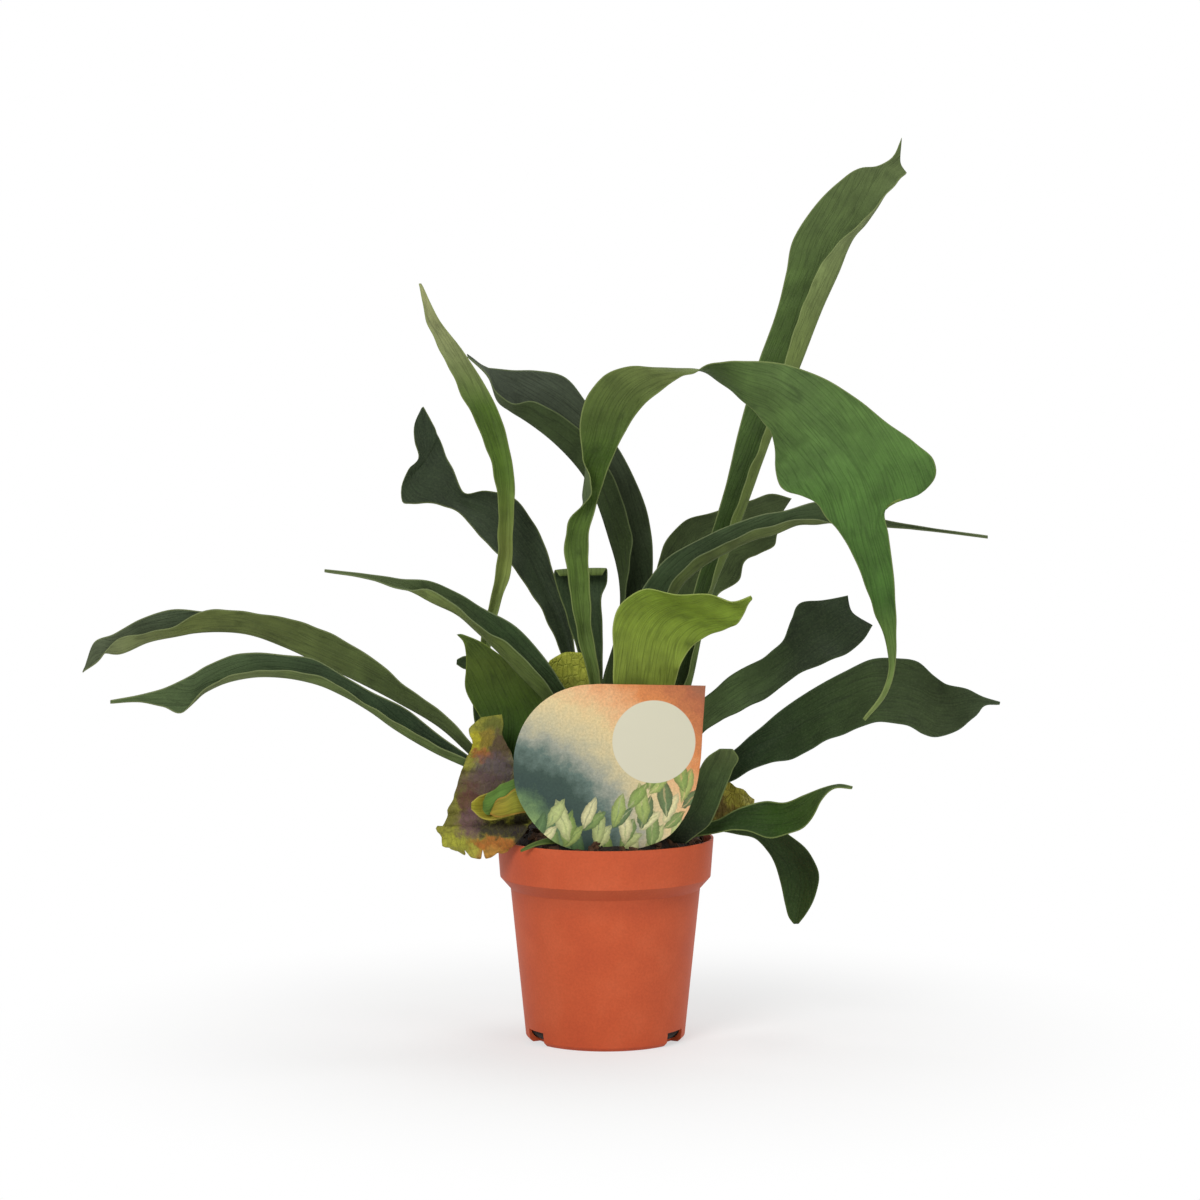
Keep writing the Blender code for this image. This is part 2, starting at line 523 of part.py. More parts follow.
def turned(name, profile, steps, look, collection):
    """A profile of (radius, height), down its outer side, turned about Z."""
    mesh = bpy.data.meshes.new(name)
    edges = [(i, i + 1) for i in range(len(profile) - 1)]
    mesh.from_pydata([(r * S, 0.0, z * S) for r, z in profile], edges, [])
    made = add_object(name, mesh, look, collection)
    screw = made.modifiers.new("turn", "SCREW")
    screw.axis = "Z"
    screw.steps = steps
    screw.render_steps = steps
    screw.use_merge_vertices = True
    screw.merge_threshold = WELD * S
    return made


def cut(target, cutter):
    """Cut the cutter out of the target, and show the cutter as a wire only."""
    boolean = target.modifiers.new("cut " + cutter.name, "BOOLEAN")
    boolean.operation = "DIFFERENCE"
    boolean.solver = "EXACT"
    boolean.object = cutter
    cutter.hide_render = True
    cutter.display_type = "WIRE"


def box_cutter(name, low, high, turn, collection):
    """A box between two corners in millimetres, turned about Z."""
    mesh = bpy.data.meshes.new(name)
    body = bmesh.new()
    bmesh.ops.create_cube(body, size=1.0)
    size = [h - l for l, h in zip(low, high)]
    centre = [(h + l) / 2.0 for l, h in zip(low, high)]
    bmesh.ops.scale(body, vec=Vector(size) * S, verts=body.verts)
    bmesh.ops.translate(body, vec=Vector(centre) * S, verts=body.verts)
    bmesh.ops.rotate(body, cent=(0, 0, 0), matrix=Matrix.Rotation(turn, 3, "Z"), verts=body.verts)
    body.to_mesh(mesh)
    body.free()
    return add_object(name, mesh, None, collection)


def inner_wall():
    """The pot's inner wall as (radius, height), from the floor up to the band."""
    return ((FOOT_RADIUS - WALL - FOOT_ROUND, FLOOR),
            (FOOT_RADIUS - WALL, FLOOR + FOOT_ROUND),
            (NECK[0] - WALL, NECK[1] + WALL / 2.0),
            (BAND_FOOT[0] - WALL, BAND_FOOT[1] + WALL / 2.0))


def pot(parts, cutters):
    """The nursery pot: thin wall, wide band under the rim, slots through the foot's corner."""
    profile = ((0.0, FLOOR),
               *inner_wall(),
               (RIM_RADIUS - WALL, POT_HEIGHT - LIP),
               (RIM_RADIUS - WALL + LIP, POT_HEIGHT),
               (RIM_RADIUS - LIP, POT_HEIGHT),
               (RIM_RADIUS, POT_HEIGHT - LIP),
               BAND_FOOT,
               NECK,
               (FOOT_RADIUS, FOOT_ROUND),
               (FOOT_RADIUS - FOOT_ROUND * ROUND_SHARE, FOOT_ROUND * ROUND_SHARE),
               (FOOT_RADIUS - FOOT_ROUND, 0.0),
               (0.0, 0.0))
    made = turned("nursery_pot", profile, POT_STEPS, TERRACOTTA, parts)
    for i in range(SLOT_COUNT):
        angle = SLOT_FIRST_ANGLE + i * math.tau / SLOT_COUNT
        low = (SLOT_INNER_RADIUS, -SLOT_WIDTH / 2.0, -SLOT_HEIGHT)
        high = (RIM_RADIUS, SLOT_WIDTH / 2.0, SLOT_HEIGHT)
        cut(made, box_cutter(f"slot_cutter_{i + 1}", low, high, angle, cutters))
    return made


def potting_mix(parts, cutters):
    """The mix: fills the pot up to a mound, with a slit that holds the label and its stake."""
    side = [(radius - GAP, height + GAP) for radius, height in reversed(inner_wall())]
    profile = (*reversed(MIX_TOP), *side, (0.0, FLOOR + GAP))
    made = turned("potting_mix", profile, MIX_STEPS, PEAT, parts)
    room = LABEL_THICKNESS / 2.0 + GAP
    low = (STAKE_X - STAKE_HALF_WIDTH - GAP, LABEL_Y - room, STAKE_TIP - GAP)
    high = (STAKE_X + STAKE_HALF_WIDTH + GAP, LABEL_Y + room, MIX_TOP[-1][1])
    cut(made, box_cutter("stake_cutter", low, high, 0.0, cutters))
    low = (-LABEL_SUNK_HALF_WIDTH, LABEL_Y - room, min(z for x, z in LABEL_ROUND) - GAP)
    high = (LABEL_SUNK_HALF_WIDTH, LABEL_Y + room, MIX_TOP[-1][1])
    cut(made, box_cutter("label_cutter", low, high, 0.0, cutters))
    return made


def label_outline():
    """The label's outline as (x, z): one square corner, a round body and a pointed stake."""
    round_part = [tuple(row[0]) for row in smooth(np.array(LABEL_ROUND)[:, None], LABEL_STEPS)]
    meets = [i for i, (x, z) in enumerate(round_part)
             if z < STAKE_TOP and abs(x - STAKE_X) < STAKE_HALF_WIDTH]
    bottom = max(round_part[i][1] for i in meets)
    left, right = STAKE_X - STAKE_HALF_WIDTH, STAKE_X + STAKE_HALF_WIDTH
    stake = [(right, bottom), (right, STAKE_SHOULDER), (STAKE_X + STAKE_TIP_HALF_WIDTH, STAKE_TIP),
             (STAKE_X - STAKE_TIP_HALF_WIDTH, STAKE_TIP), (left, STAKE_SHOULDER), (left, bottom)]
    return [LABEL_CORNER, *round_part[:meets[0]], *stake, *round_part[meets[-1] + 1:]]


def plant_label(parts):
    """The label and its stake, one flat outline with a thickness."""
    outline = label_outline()
    curve = bpy.data.curves.new("plant_label", "CURVE")
    curve.dimensions = "2D"
    curve.fill_mode = "BOTH"
    curve.extrude = LABEL_THICKNESS / 2.0 * S
    spline = curve.splines.new("POLY")
    spline.points.add(len(outline) - 1)
    for point, (x, z) in zip(spline.points, outline):
        point.co = (x * S, z * S, 0.0, 1.0)
    spline.use_cyclic_u = True
    curve.materials.append(material("plant_label", CARD))
    made = bpy.data.objects.new("plant_label", curve)
    made.location = (0.0, LABEL_Y * S, 0.0)
    made.rotation_euler = (math.radians(90.0), 0.0, 0.0)
    parts.objects.link(made)
    return made


def rhizome(name, centre, half_lengths, lean, parts):
    """A rounded lump: a ball stretched to its half lengths, then leaned about Y."""
    mesh = bpy.data.meshes.new(name)
    ball = bmesh.new()
    bmesh.ops.create_icosphere(ball, subdivisions=RHIZOME_RINGS, radius=1.0)
    turn = Matrix.Rotation(math.radians(lean), 3, "Y")
    for vertex in ball.verts:
        stretched = Vector([c * half for c, half in zip(vertex.co, half_lengths)])
        vertex.co = (turn @ stretched + Vector(centre)) * S
    ball.to_mesh(mesh)
    ball.free()
    mesh.shade_smooth()
    return add_object(name, mesh, RHIZOME, parts)


def main():
    for old in list(bpy.data.objects):
        bpy.data.objects.remove(old, do_unlink=True)
    parts = bpy.data.collections.new("staghorn_fern")
    cutters = bpy.data.collections.new("cutters")
    for collection in (parts, cutters):
        bpy.context.scene.collection.children.link(collection)
    pot(parts, cutters)
    potting_mix(parts, cutters)
    plant_label(parts)
    for name, (centre, half_lengths, lean) in RHIZOMES.items():
        rhizome(name, centre, half_lengths, lean, parts)
    for name, (look, steps, sweep, roll, stations) in FRONDS.items():
        frond(name, look, steps, sweep, roll, stations, parts)


main()
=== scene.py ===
# %% [markdown]
# # A young staghorn fern in its nursery pot
#
# A staghorn fern has two kinds of frond. The strap fronds are long, leathery and often folded
# along the middle. The shield fronds are short and papery, and clasp the roots. Both grow from
# a short creeping stem, the rhizome, which sits on the potting mix.
#
# The frame that is loaded here holds every piece at its real size, as plain solids. Each step
# below puts a finished piece in the place of one of them.

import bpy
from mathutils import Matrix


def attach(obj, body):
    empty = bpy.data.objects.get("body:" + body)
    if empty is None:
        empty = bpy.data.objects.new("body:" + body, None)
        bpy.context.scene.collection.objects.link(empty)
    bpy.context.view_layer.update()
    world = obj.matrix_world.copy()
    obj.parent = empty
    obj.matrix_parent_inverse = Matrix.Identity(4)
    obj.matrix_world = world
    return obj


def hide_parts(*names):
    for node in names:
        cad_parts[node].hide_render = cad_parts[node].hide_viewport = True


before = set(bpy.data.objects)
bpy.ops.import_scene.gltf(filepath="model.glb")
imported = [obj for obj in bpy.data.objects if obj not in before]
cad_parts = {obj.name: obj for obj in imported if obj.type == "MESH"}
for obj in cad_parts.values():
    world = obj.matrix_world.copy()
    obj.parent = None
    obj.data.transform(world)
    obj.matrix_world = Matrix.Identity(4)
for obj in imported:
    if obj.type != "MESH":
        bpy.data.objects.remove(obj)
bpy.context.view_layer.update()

# %% Modules and units
import math

import bmesh
import bpy
import numpy as np
from mathutils import noise

MM = 0.001                     # a millimetre, in metres
BODY = "root"                  # the fern has no joints, so everything rides on one body

# %% [markdown]
# ## Colours and nodes
#
# Paint charts and web colours are sRGB, while a shader works in linear light. One function
# turns one into the other, so that every colour below can be written as a plain hex value.
# A second small function adds a node with its settings and its links, so that a material
# reads as a list of steps.

# %% Colour and node helpers
def linear(hex_colour):
    """An sRGB colour such as #A0B1C2, as linear red, green, blue and alpha."""
    channels = [int(hex_colour[i:i + 2], 16) / 255.0 for i in (1, 3, 5)]
    return (*[c / 12.92 if c <= 0.04045 else ((c + 0.055) / 1.055) ** 2.4 for c in channels], 1.0)


def add_node(tree, kind, settings=(), inputs=()):
    """Add a node. An input is a value, or the output socket to link to it."""
    node = tree.nodes.new(kind)
    for name, value in dict(settings).items():
        if name == "stops":
            ramp = node.color_ramp.elements
            while len(ramp) < len(value):
                ramp.new(1.0)
            for element, (place, colour) in zip(ramp, value):
                element.position = place
                element.color = colour
        else:
            setattr(node, name, value)
    for socket, value in dict(inputs).items():
        if isinstance(value, bpy.types.NodeSocket):
            tree.links.new(value, node.inputs[socket])
        else:
            node.inputs[socket].default_value = value
    return node


def new_material(name):
    """An empty material, with its tree and its output node."""
    made = bpy.data.materials.new(name)
    made.use_nodes = True
    tree = made.node_tree
    tree.nodes.clear()
    return made, tree, tree.nodes.new("ShaderNodeOutputMaterial")


def seen_by_eye(tree):
    """1 for a ray from the camera, or from it by a reflection or a pane, and 0 for any other."""
    path = add_node(tree, "ShaderNodeLightPath").outputs
    seen = add_node(tree, "ShaderNodeMath", {"operation": "MAXIMUM"},
                    {0: path["Is Camera Ray"], 1: path["Is Glossy Ray"]})
    return add_node(tree, "ShaderNodeMath", {"operation": "MAXIMUM"},
                    {0: seen.outputs[0], 1: path["Is Transmission Ray"]}).outputs[0]


def in_scene(name, data):
    """A new object around a mesh, curve, lamp or camera, linked to the scene."""
    made = bpy.data.objects.new(name, data)
    bpy.context.scene.collection.objects.link(made)
    return made


print("terracotta in linear light:", [round(c, 3) for c in linear("#B8573A")])

# %% [markdown]
# ## Camera
#
# A plant is pictured from a little above the pot's rim and from far back, with a long lens, so
# that near and far fronds keep their true proportions. The camera is pitched down and not
# shifted, because a shift would push the plant out of the frame from other sides.

# %% Camera
EYE = (-3.0, -1750.0, 346.0)   # in millimetres, the eye that the fronds were drawn for
AIM_HEIGHT = 243.5             # where the view's centre meets the pot's axis
LENS = 95.2                    # for a sensor 36 mm wide

camera_data = bpy.data.cameras.new("camera")
camera_data.lens = LENS
camera_data.sensor_width = 36.0
camera_data.clip_end = 20.0
camera = in_scene("camera", camera_data)
camera.location = [c * MM for c in EYE]
pitch = math.atan2(EYE[2] - AIM_HEIGHT, -EYE[1])
camera.rotation_euler = (math.pi / 2.0 - pitch, 0.0, 0.0)
bpy.context.scene.camera = camera
bpy.context.scene.view_settings.view_transform = "Standard"
print("camera pitched down", round(math.degrees(pitch), 2), "degrees")

# %% [markdown]
# ## Floor and light
#
# The plant stands on a plain pale floor under soft studio light. A wide floor would meet the
# background in a visible line, so the floor fades to white away from the pot, for camera rays
# and reflections only. Near the pot it is an ordinary matt surface that takes a soft shadow.

# %% Floor
FLOOR_RADIUS = 3.0
SHADOW_RADII = (0.09, 0.36)    # metres from the axis: least white inside, all white outside
SHADOW_WHITE = 0.55            # how far towards white the floor is at the pot

floor_mesh = bpy.data.meshes.new("studio_floor")
disc = bmesh.new()
bmesh.ops.create_circle(disc, cap_ends=True, segments=96, radius=FLOOR_RADIUS)
disc.to_mesh(floor_mesh)
disc.free()
floor = in_scene("studio_floor", floor_mesh)

floor_paint, tree, output = new_material("matt_white_floor_paint")
position = add_node(tree, "ShaderNodeTexCoord")
reach = add_node(tree, "ShaderNodeVectorMath", {"operation": "LENGTH"},
                 {0: position.outputs["Object"]})
fade = add_node(tree, "ShaderNodeMapRange", {"interpolation_type": "SMOOTHSTEP"},
                {"Value": reach.outputs["Value"], "From Min": SHADOW_RADII[0],
                 "From Max": SHADOW_RADII[1], "To Min": SHADOW_WHITE})
white = add_node(tree, "ShaderNodeMath", {"operation": "MULTIPLY"},
                 {0: fade.outputs["Result"], 1: seen_by_eye(tree)})
matt = add_node(tree, "ShaderNodeBsdfDiffuse", (), {"Color": linear("#F4F4F3")})
glow = add_node(tree, "ShaderNodeEmission", (), {"Color": (1.0, 1.0, 1.0, 1.0), "Strength": 1.0})
blend = add_node(tree, "ShaderNodeMixShader", (),
                 {0: white.outputs[0], 1: matt.outputs[0], 2: glow.outputs[0]})
tree.links.new(blend.outputs[0], output.inputs["Surface"])
floor_mesh.materials.append(floor_paint)

# %% World and lamps
WORLD_STRENGTH = 0.30
LAMPS = {                      # name: place in metres, size in metres, power in watts
    "key_softbox": ((-0.9, -1.9, 1.5), 1.1, 31.0),
    "fill_softbox": ((1.6, -1.7, 0.7), 1.2, 12.0),
    "top_softbox": ((0.3, 0.3, 1.8), 1.0, 11.0),
}
LAMP_AIM = (0.0, 0.0, 0.24)

world = bpy.data.worlds.new("studio")
bpy.context.scene.world = world
world.use_nodes = True
tree = world.node_tree
tree.nodes.clear()
strength = add_node(tree, "ShaderNodeMapRange", (),
                    {"Value": seen_by_eye(tree), "To Min": WORLD_STRENGTH, "To Max": 1.0})
sky = add_node(tree, "ShaderNodeBackground", (),
               {"Color": (1.0, 1.0, 1.0, 1.0), "Strength": strength.outputs["Result"]})
output = add_node(tree, "ShaderNodeOutputWorld", (), {"Surface": sky.outputs[0]})

for name, (place, size, power) in LAMPS.items():
    lamp_data = bpy.data.lights.new(name, "AREA")
    lamp_data.shape = "DISK"
    lamp_data.size = size
    lamp_data.energy = power
    lamp = in_scene(name, lamp_data)
    lamp.location = place
    back = lamp.location.copy() - type(lamp.location)(LAMP_AIM)
    lamp.rotation_euler = back.to_track_quat("Z", "Y").to_euler()
print(len(LAMPS), "softboxes,", sum(row[2] for row in LAMPS.values()), "watts")

# %% [markdown]
# ## How a frond is drawn
#
# A strap frond is a long blade with a fold along its midrib, and it twists and turns its two
# faces to the eye. It could be sculpted, or bent with a curve modifier, but both lose hold of
# its outline. Here each frond is three rails: one margin, the midrib and the other margin.
# They are drawn as seen from the eye, with a depth at each station, and a smooth surface is
# lofted between them. The blade then gets a thickness, thin at the margins, which are rounded.

# %% Stations of the fronds
# A frond is its sweep, its roll and its stations. sweep is how far its tip leans to the back,
# or to the front if negative. roll tips the blade about its length: how much deeper margin B
# gets than margin A, as a share of the width.
#
# A station is (ax, az, bx, bz, depth, turn, cup) for a blade whose midrib lies midway, or
# (ax, az, mx, mz, bx, bz, depth, turn, cup) for a folded one, in millimetres read on the plane
# y = 0. depth is the y of the margins, turn how much deeper margin B is than margin A, and cup
# how much deeper the midrib is. Stations run from the base to the tip.
STRAP_FRONDS = {
    "arching_frond": (-75.0, 0.0, (
        (4, 139, -2, 139, -15, 0, 1),
        (1, 168, -6, 168, -22, 0, 1.5),
        (-3, 200, -9.5, 200, -26, 0, 2),
        (-7, 225, -15.5, 225, -27, 0, 2.5),
        (-9, 255, -20.5, 255, -27, 0, 3),
        (-9, 280, -22, 279, -27, 0, 3),
        (-7, 290, -12.8, 289.5, -19.5, 289, -28, -1, 3),
        (-5, 297, -11.5, 296, -12.5, 296, -29, -5, 4),
        (-3.4, 302, -12.3, 301, -7.5, 302, -30, -9, 5),
        (-1.8, 306.5, -11.4, 307.5, -8, 309, -31, -8, 5),
        (1.8, 317, -9.2, 317, -11, 318, -32, -4, 4),
        (7.5, 330, -3, 330.5, -13.6, 330, -33, 0, 3),
        (14, 342, 0.5, 344, -13.6, 344, -34, 0, 3),
        (20, 350, 6, 355, -8.5, 358, -36, 2, 3),
        (26, 355.5, 13, 363, 0, 367.5, -38, 6, 3),
        (33, 361, 22, 368, 12, 372, -40, 9, 2),
        (41, 366.3, 35, 369, 29, 371.3, -43, 13, 0),
        (50, 369.2, 49, 370.2, 48, 371.2, -47, 18, 0),
        (61, 374.4, 62, 369, 62.5, 363.5, -51, 17, 0),
        (78, 375, 78, 362, 76.5, 352.5, -54, 13, -2),
        (98, 373.3, 93, 357, 87.5, 341.5, -57, 9, -4),
        (119, 366, 106, 347, 92.5, 331, -60, 7, -5),
        (138, 354.5, 116, 337, 94, 318, -62, 5, -6),
        (155, 341.5, 124, 327, 95, 309.5, -64, 4, -6),
        (171, 329.5, 131, 316, 100, 303.5, -66, 4, -6),
        (180.5, 321, 136, 307, 109, 300.7, -67, 4, -5),
        (181.5, 311, 139, 299, 116.5, 296.8, -67, 4, -4),
        (172, 301.2, 141, 293, 122, 289, -67, 3, -3),
        (160.5, 298.8, 143, 286, 127, 284, -67, 3, -3),
        (154.5, 293, 144.5, 279, 132, 276.5, -67, 2, -2.5),
        (156, 279.5, 147, 270, 138, 265.5, -66, 2, -2),
        (159, 257, 151, 255, 143.5, 251.5, -65, 2, -2),
        (160.5, 235, 154.5, 235, 149.5, 235.5, -64, 2, -2),
        (160.6, 214, 158, 214.5, 155.8, 216, -62, 1, -1),
        (159.5, 203, 158, 203.8, 156.8, 205, -61, 1, -0.5),
        (155.8, 191.8, 154.8, 192.5, 153.6, 193.3, -60, 0, 0),
        (143.8, 176.6, 143.2, 177.1, 142.6, 177.6, -58, 0, 0),
    )),
    "tall_frond": (85.0, -0.2, (
        (21, 139, 27, 139, 24, 138.5, 5, -1, 2),
        (34, 190, 45, 190, 42, 190.5, 9, -3, 2),
        (50, 252, 59, 249, 57, 249, 12, -5, 3),
        (58.5, 280, 71, 278, 67, 280, 14, -6, 4),
        (66, 305, 80, 303, 75.5, 304, 17, -7, 4),
        (73.5, 337, 91.5, 336, 87.5, 336, 20, -7, 4),
        (84.5, 375, 107, 374, 99, 376, 24, -7, 4),
        (95, 405, 119.5, 406, 109.5, 408, 27, -7, 4),
        (99.5, 424, 127.5, 424, 117, 425, 29, -7, 4),
        (103, 441, 134.5, 442, 127, 439, 31, -7, 4),
        (113, 457.5, 142, 452, 139, 450, 33, -5, 3),
        (128, 473, 149, 464, 150.5, 461.5, 35, -3, 2),
        (141, 481, 154, 474, 158.5, 471.5, 37, -1, 1),
        (150.5, 482, 157, 479, 162, 475.5, 38, 0, 0),
        (157, 486, 159.5, 480.5, 164, 477, 38, 0, 0),
        (162.2, 497, 161.5, 484, 165, 478.2, 38, 0, 0),
    )),
    "folded_frond": (-35.0, 0.2, (
        (8, 139, 4, 139, 11, 139, 4, 2, 1),
        (9, 172, -3, 172, 18, 171, 6, 4, 3),
        (10, 198, -1, 198, 22, 197, 7, 6, 4),
        (10.5, 222, 6, 222, 24, 221, 7, 7, 4),
        (11, 245, 9.3, 243, 24.8, 243, 7, 9, 3),
        (13.5, 265, 6.7, 263, 26, 265, 7, 11, 3),
        (14.5, 279, 2.5, 277, 25.2, 280, 7, 12, 3),
        (11.5, 292, -1.7, 290.5, 22.3, 294, 6, 12, 3),
        (6, 307, -6.5, 303, 16.5, 309, 6, 11, 4),
        (0, 319, -11.5, 312, 8, 325.5, 5, 11, 4),
        (-8, 331, -16, 318, -1, 338, 5, 11, 4),
        (-17, 340, -23, 326, -11, 353, 5, 11, 4),
        (-29, 348, -32, 334.5, -23, 366.5, 5, 11, 4),
        (-40, 352.5, -41.5, 341.5, -38, 369.7, 5, 11, 4),
        (-52, 352.5, -52, 348.5, -52, 370, 4, 10, 4),
        (-59.5, 357.5, -59, 353.5, -61, 371, 3, 8, 3),
        (-65, 367.5, -64, 366, -67, 372.4, 2, 4, 1),
        (-76, 377.4, -75.6, 378, -76, 378.9, 1, 0, 0),
    )),
    "upright_frond": (45.0, 0.5, (
        (-64, 158, -58, 158, 4, 0, 1),
        (-68, 192, -62, 191, 8, 0, 1.5),
        (-69, 220, -63.5, 219, 11, 0, 2),
        (-64.5, 240, -58.5, 240, 12, 0, 2),
        (-60, 262, -52.6, 259, 12, 0, 3),
        (-59, 286, -51, 284, 12, 0, 3),
        (-61, 312, -50.4, 310, 13, 0, 3),
        (-70, 338, -56, 339, 14, 0, 4),
        (-83, 365, -67, 363, 17, 0, 4),
        (-91, 381, -79.5, 382, 19, 0, 3),
        (-98, 397, -91, 397, 21, 0, 2),
        (-102.4, 417.5, -101.2, 417.5, 24, 0, 0),
    )),
    "forked_frond": (60.0, 0.25, (
        (-15, 140, -9, 138, 13, 0, 1),
        (-19, 182, -11, 180, 18, 0, 2),
        (-24.5, 214, -16.5, 213, 22, 1, 2),
        (-31.5, 230, -20, 232, 22, 2, 3),
        (-40, 246, -26.5, 251, 23, 2, 4),
        (-52, 262.5, -33, 272, 23, 2, 5),
        (-64, 273.2, -40, 286.5, 24, 2, 5),
        (-73, 283.5, -52, 300.5, 25, 2, 5),
        (-78, 289, -66, 303.7, 26, 1, 5),
        (-86, 294.2, -81.5, 300, -77.5, 302.5, 27, 0, 4),
        (-98, 297.2, -91.5, 310, -84, 316, 28, 0, 3),
        (-107, 296.8, -98, 312, -88, 323, 29, 0, 2),
        (-112, 298, -101, 316, -90, 329, 29.5, 0, 1),
        (-112.4, 306, -101, 318, -91.5, 332.5, 30, 0, 1),
        (-108.5, 315.5, -99.5, 320.5, -92.8, 335, 30, 0, 0.5),
        (-102.9, 321.5, -98.6, 328.5, -94.3, 339, 30, 0, 0),
        (-105, 331, -100.3, 336, -96.2, 342.7, 30, 0, 0),
        (-105, 341, -102, 344, -98.6, 347, 30, 0, 0),
        (-101.3, 349.2, -100.3, 350, 30, 0, 0),
    )),
    "pointed_frond": (-60.0, 0.2, (
        (-8, 141, -11, 139, -6, 141, -8, 3, 1),
        (-16, 172, -20, 168, -11, 174, -17, 4, 2),
        (-31, 194.5, -34, 188.5, -24.5, 197.5, -22, 6, 2),
        (-42, 208.5, -46, 201, -35, 213, -24, 7, 3),
        (-55, 220, -58, 214, -50, 229, -25, 8, 3),
        (-70, 229, -71, 226.5, -68, 239, -26, 8, 3),
        (-81, 239.5, -81.5, 235.5, -81, 247, -27, 7, 3),
        (-97, 248.8, -96, 242.5, -97, 253.8, -28, 5, 2),
        (-112, 249.2, -111.5, 251, -111, 255, -29, 3, 0.5),
        (-130, 254.8, -130, 257.6, -30, 1, 0),
        (-155, 259, -155, 260.4, -31, 0, 0),
    )),
    "long_frond_upper": (35.0, 0.0, (
        (-71, 160.5, -73, 156, -71, 159.5, -25, 3, 1),
        (-88, 179, -91, 172.5, -88, 177, -22, 5, 2),
        (-110, 195.5, -115, 187, -111, 194, -18, 7, 3),
        (-130, 212, -136, 198, -131, 210, -14, 8, 3),
        (-152, 225, -155, 207, -153, 222, -10, 9, 3),
        (-175, 233, -177, 217.5, -175, 229.5, -7, 9, 3),
        (-200, 237, -199, 225, -200, 235, -5, 9, 3),
        (-222, 237.3, -221, 226, -222, 237, -3, 9, 3),
        (-239, 229, -238, 223.7, -240, 238, -2, 9, 3),
        (-255, 224.6, -253, 220.5, -257, 232.7, -1, 8, 3),
        (-270, 221.5, -269, 213.7, -272, 224.4, 0, 6, 2),
        (-280.5, 209.9, -283, 219.5, 1, 2, 0.5),
        (-289, 203.4, -288.2, 205.4, 1, 0, 0),
    )),
    "long_frond_lower": (-45.0, 0.0, (
        (-73, 153.5, -75, 150, -72.5, 154.5, -29, 3, 1),
        (-95, 163.5, -96, 160, -94, 170, -26, 5, 2),
        (-114, 175, -116, 172, -112, 184, -23, 6, 2),
        (-130, 184, -131, 182.8, -128, 191.7, -21, 6, 2),
        (-146, 195, -146, 191.3, -143, 200.2, -19, 6, 2),
        (-160, 202, -160, 197.3, -161, 210.5, -18, 7, 2),
        (-178, 204, -178, 201, -177, 212.8, -17, 7, 3),
        (-195, 204.3, -196, 201.2, -195, 214.2, -16, 7, 3),
        (-210, 200.5, -211, 198, -208, 212.3, -16, 7, 2),
        (-221, 194.5, -221.5, 193.2, -220, 207.2, -16, 6, 2),
        (-233.5, 181.2, -229.5, 188.5, -229, 201.7, -16, 5, 2),
        (-245, 184.6, -243, 189, -243, 195, -16, 3, 1),
        (-258, 186.9, -257, 188.5, -257, 191, -16, 1, 0),
        (-274, 186.2, -274, 187, -274, 187.8, -16, 0, 0),
    )),
    "broad_back_frond": (55.0, 0.3, (
        (22, 139, 28, 139, 15, 0, 1),
        (25, 190, 38, 188, 24, 0, 4),
        (27, 235, 54, 226, 30, 0, 7),
        (28.5, 262, 63, 247.5, 33, 0, 8),
        (33.5, 275.5, 73.5, 254, 35, 0, 8),
        (43, 286.5, 76.5, 264.5, 36, 0, 8),
        (60, 292.3, 85, 269.3, 37, 0, 7),
        (78, 298, 79, 284, 93, 273.5, 38, 0, 6),
        (92, 301.7, 90, 287, 94.5, 280, 38, 0, 3),
        (102.5, 299.5, 97, 291, 96, 284, 38, 0, 1),
    )),
    "long_thin_frond": (-25.0, -0.2, (
        (13, 139.5, 18, 138, 17, 139, -8, -2, 1),
        (12, 195, 24, 192, 20, 193, -11, -4, 2),
        (15, 238, 33, 232, 29, 234, -12, -6, 3),
        (24.5, 255.5, 42, 252, 37.5, 254, -13, -7, 3),
        (34, 266.5, 52, 261.3, 47, 264, -14, -7, 3),
        (50, 276, 66, 269.7, 62, 273, -14, -7, 3),
        (66, 283.5, 80, 276.5, 77, 280, -15, -6, 3),
        (85, 290.2, 94, 280.5, 92, 284.5, -16, -5, 3),
        (100, 293, 106, 285.3, 105, 288, -17, -4, 2),
        (116, 297.5, 117, 286, 116.5, 288, -18, -4, 2),
        (134, 293.5, 134, 284.6, -19, -2, 1),
        (156, 287.3, 157, 283.6, -20, -1, 0.5),
        (175, 284, 175, 282, -21, 0, 0),
        (211, 279, 211, 277.6, -22, 0, 0),
    )),
    "young_frond": (-35.0, 0.25, (
        (11, 139, 17, 139, -18, 0, 1),
        (5.5, 170, 29, 168, -29, 0, 2),
        (4.5, 200, 38.5, 197.5, -34, 0, 4),
        (4.7, 216, 42, 209, -36, 0, 5),
        (4, 229, 48, 218, -37, 0, 5),
        (10, 243, 57, 224, -38, 0, 5),
        (22, 249.2, 66, 227, -39, 0, 4),
        (40, 246, 73, 231, -40, 0, 3),
        (58, 247.2, 76.5, 236, -40, 0, 2),
        (69.5, 242.2, 78.5, 240.5, -41, 0, 1),
        (80.3, 245.8, 81, 244, -42, 0, 0),
    )),
    "right_frond_upper": (45.0, -0.35, (
        (22, 141, 27, 137, -3, 0, 1),
        (42, 177, 48, 164, -2, 0, 3),
        (56, 190, 60, 174.5, 0, 0, 4),
        (72, 203.2, 76, 182.5, 1, 0, 4),
        (88, 212, 92, 191.5, 2, 0, 4),
        (98.5, 221.5, 108, 203, 3, 0, 4),
        (103, 233, 122, 209, 3, 0, 4),
        (107.5, 241.5, 122, 227, 133, 214, 4, 0, 3),
        (119, 243.2, 129, 233, 142, 221, 4, 0, 1),
        (134, 246, 136.5, 236.5, 147.5, 229.5, 4, 0, 0),
    )),
    "right_frond_lower": (-50.0, -0.45, (
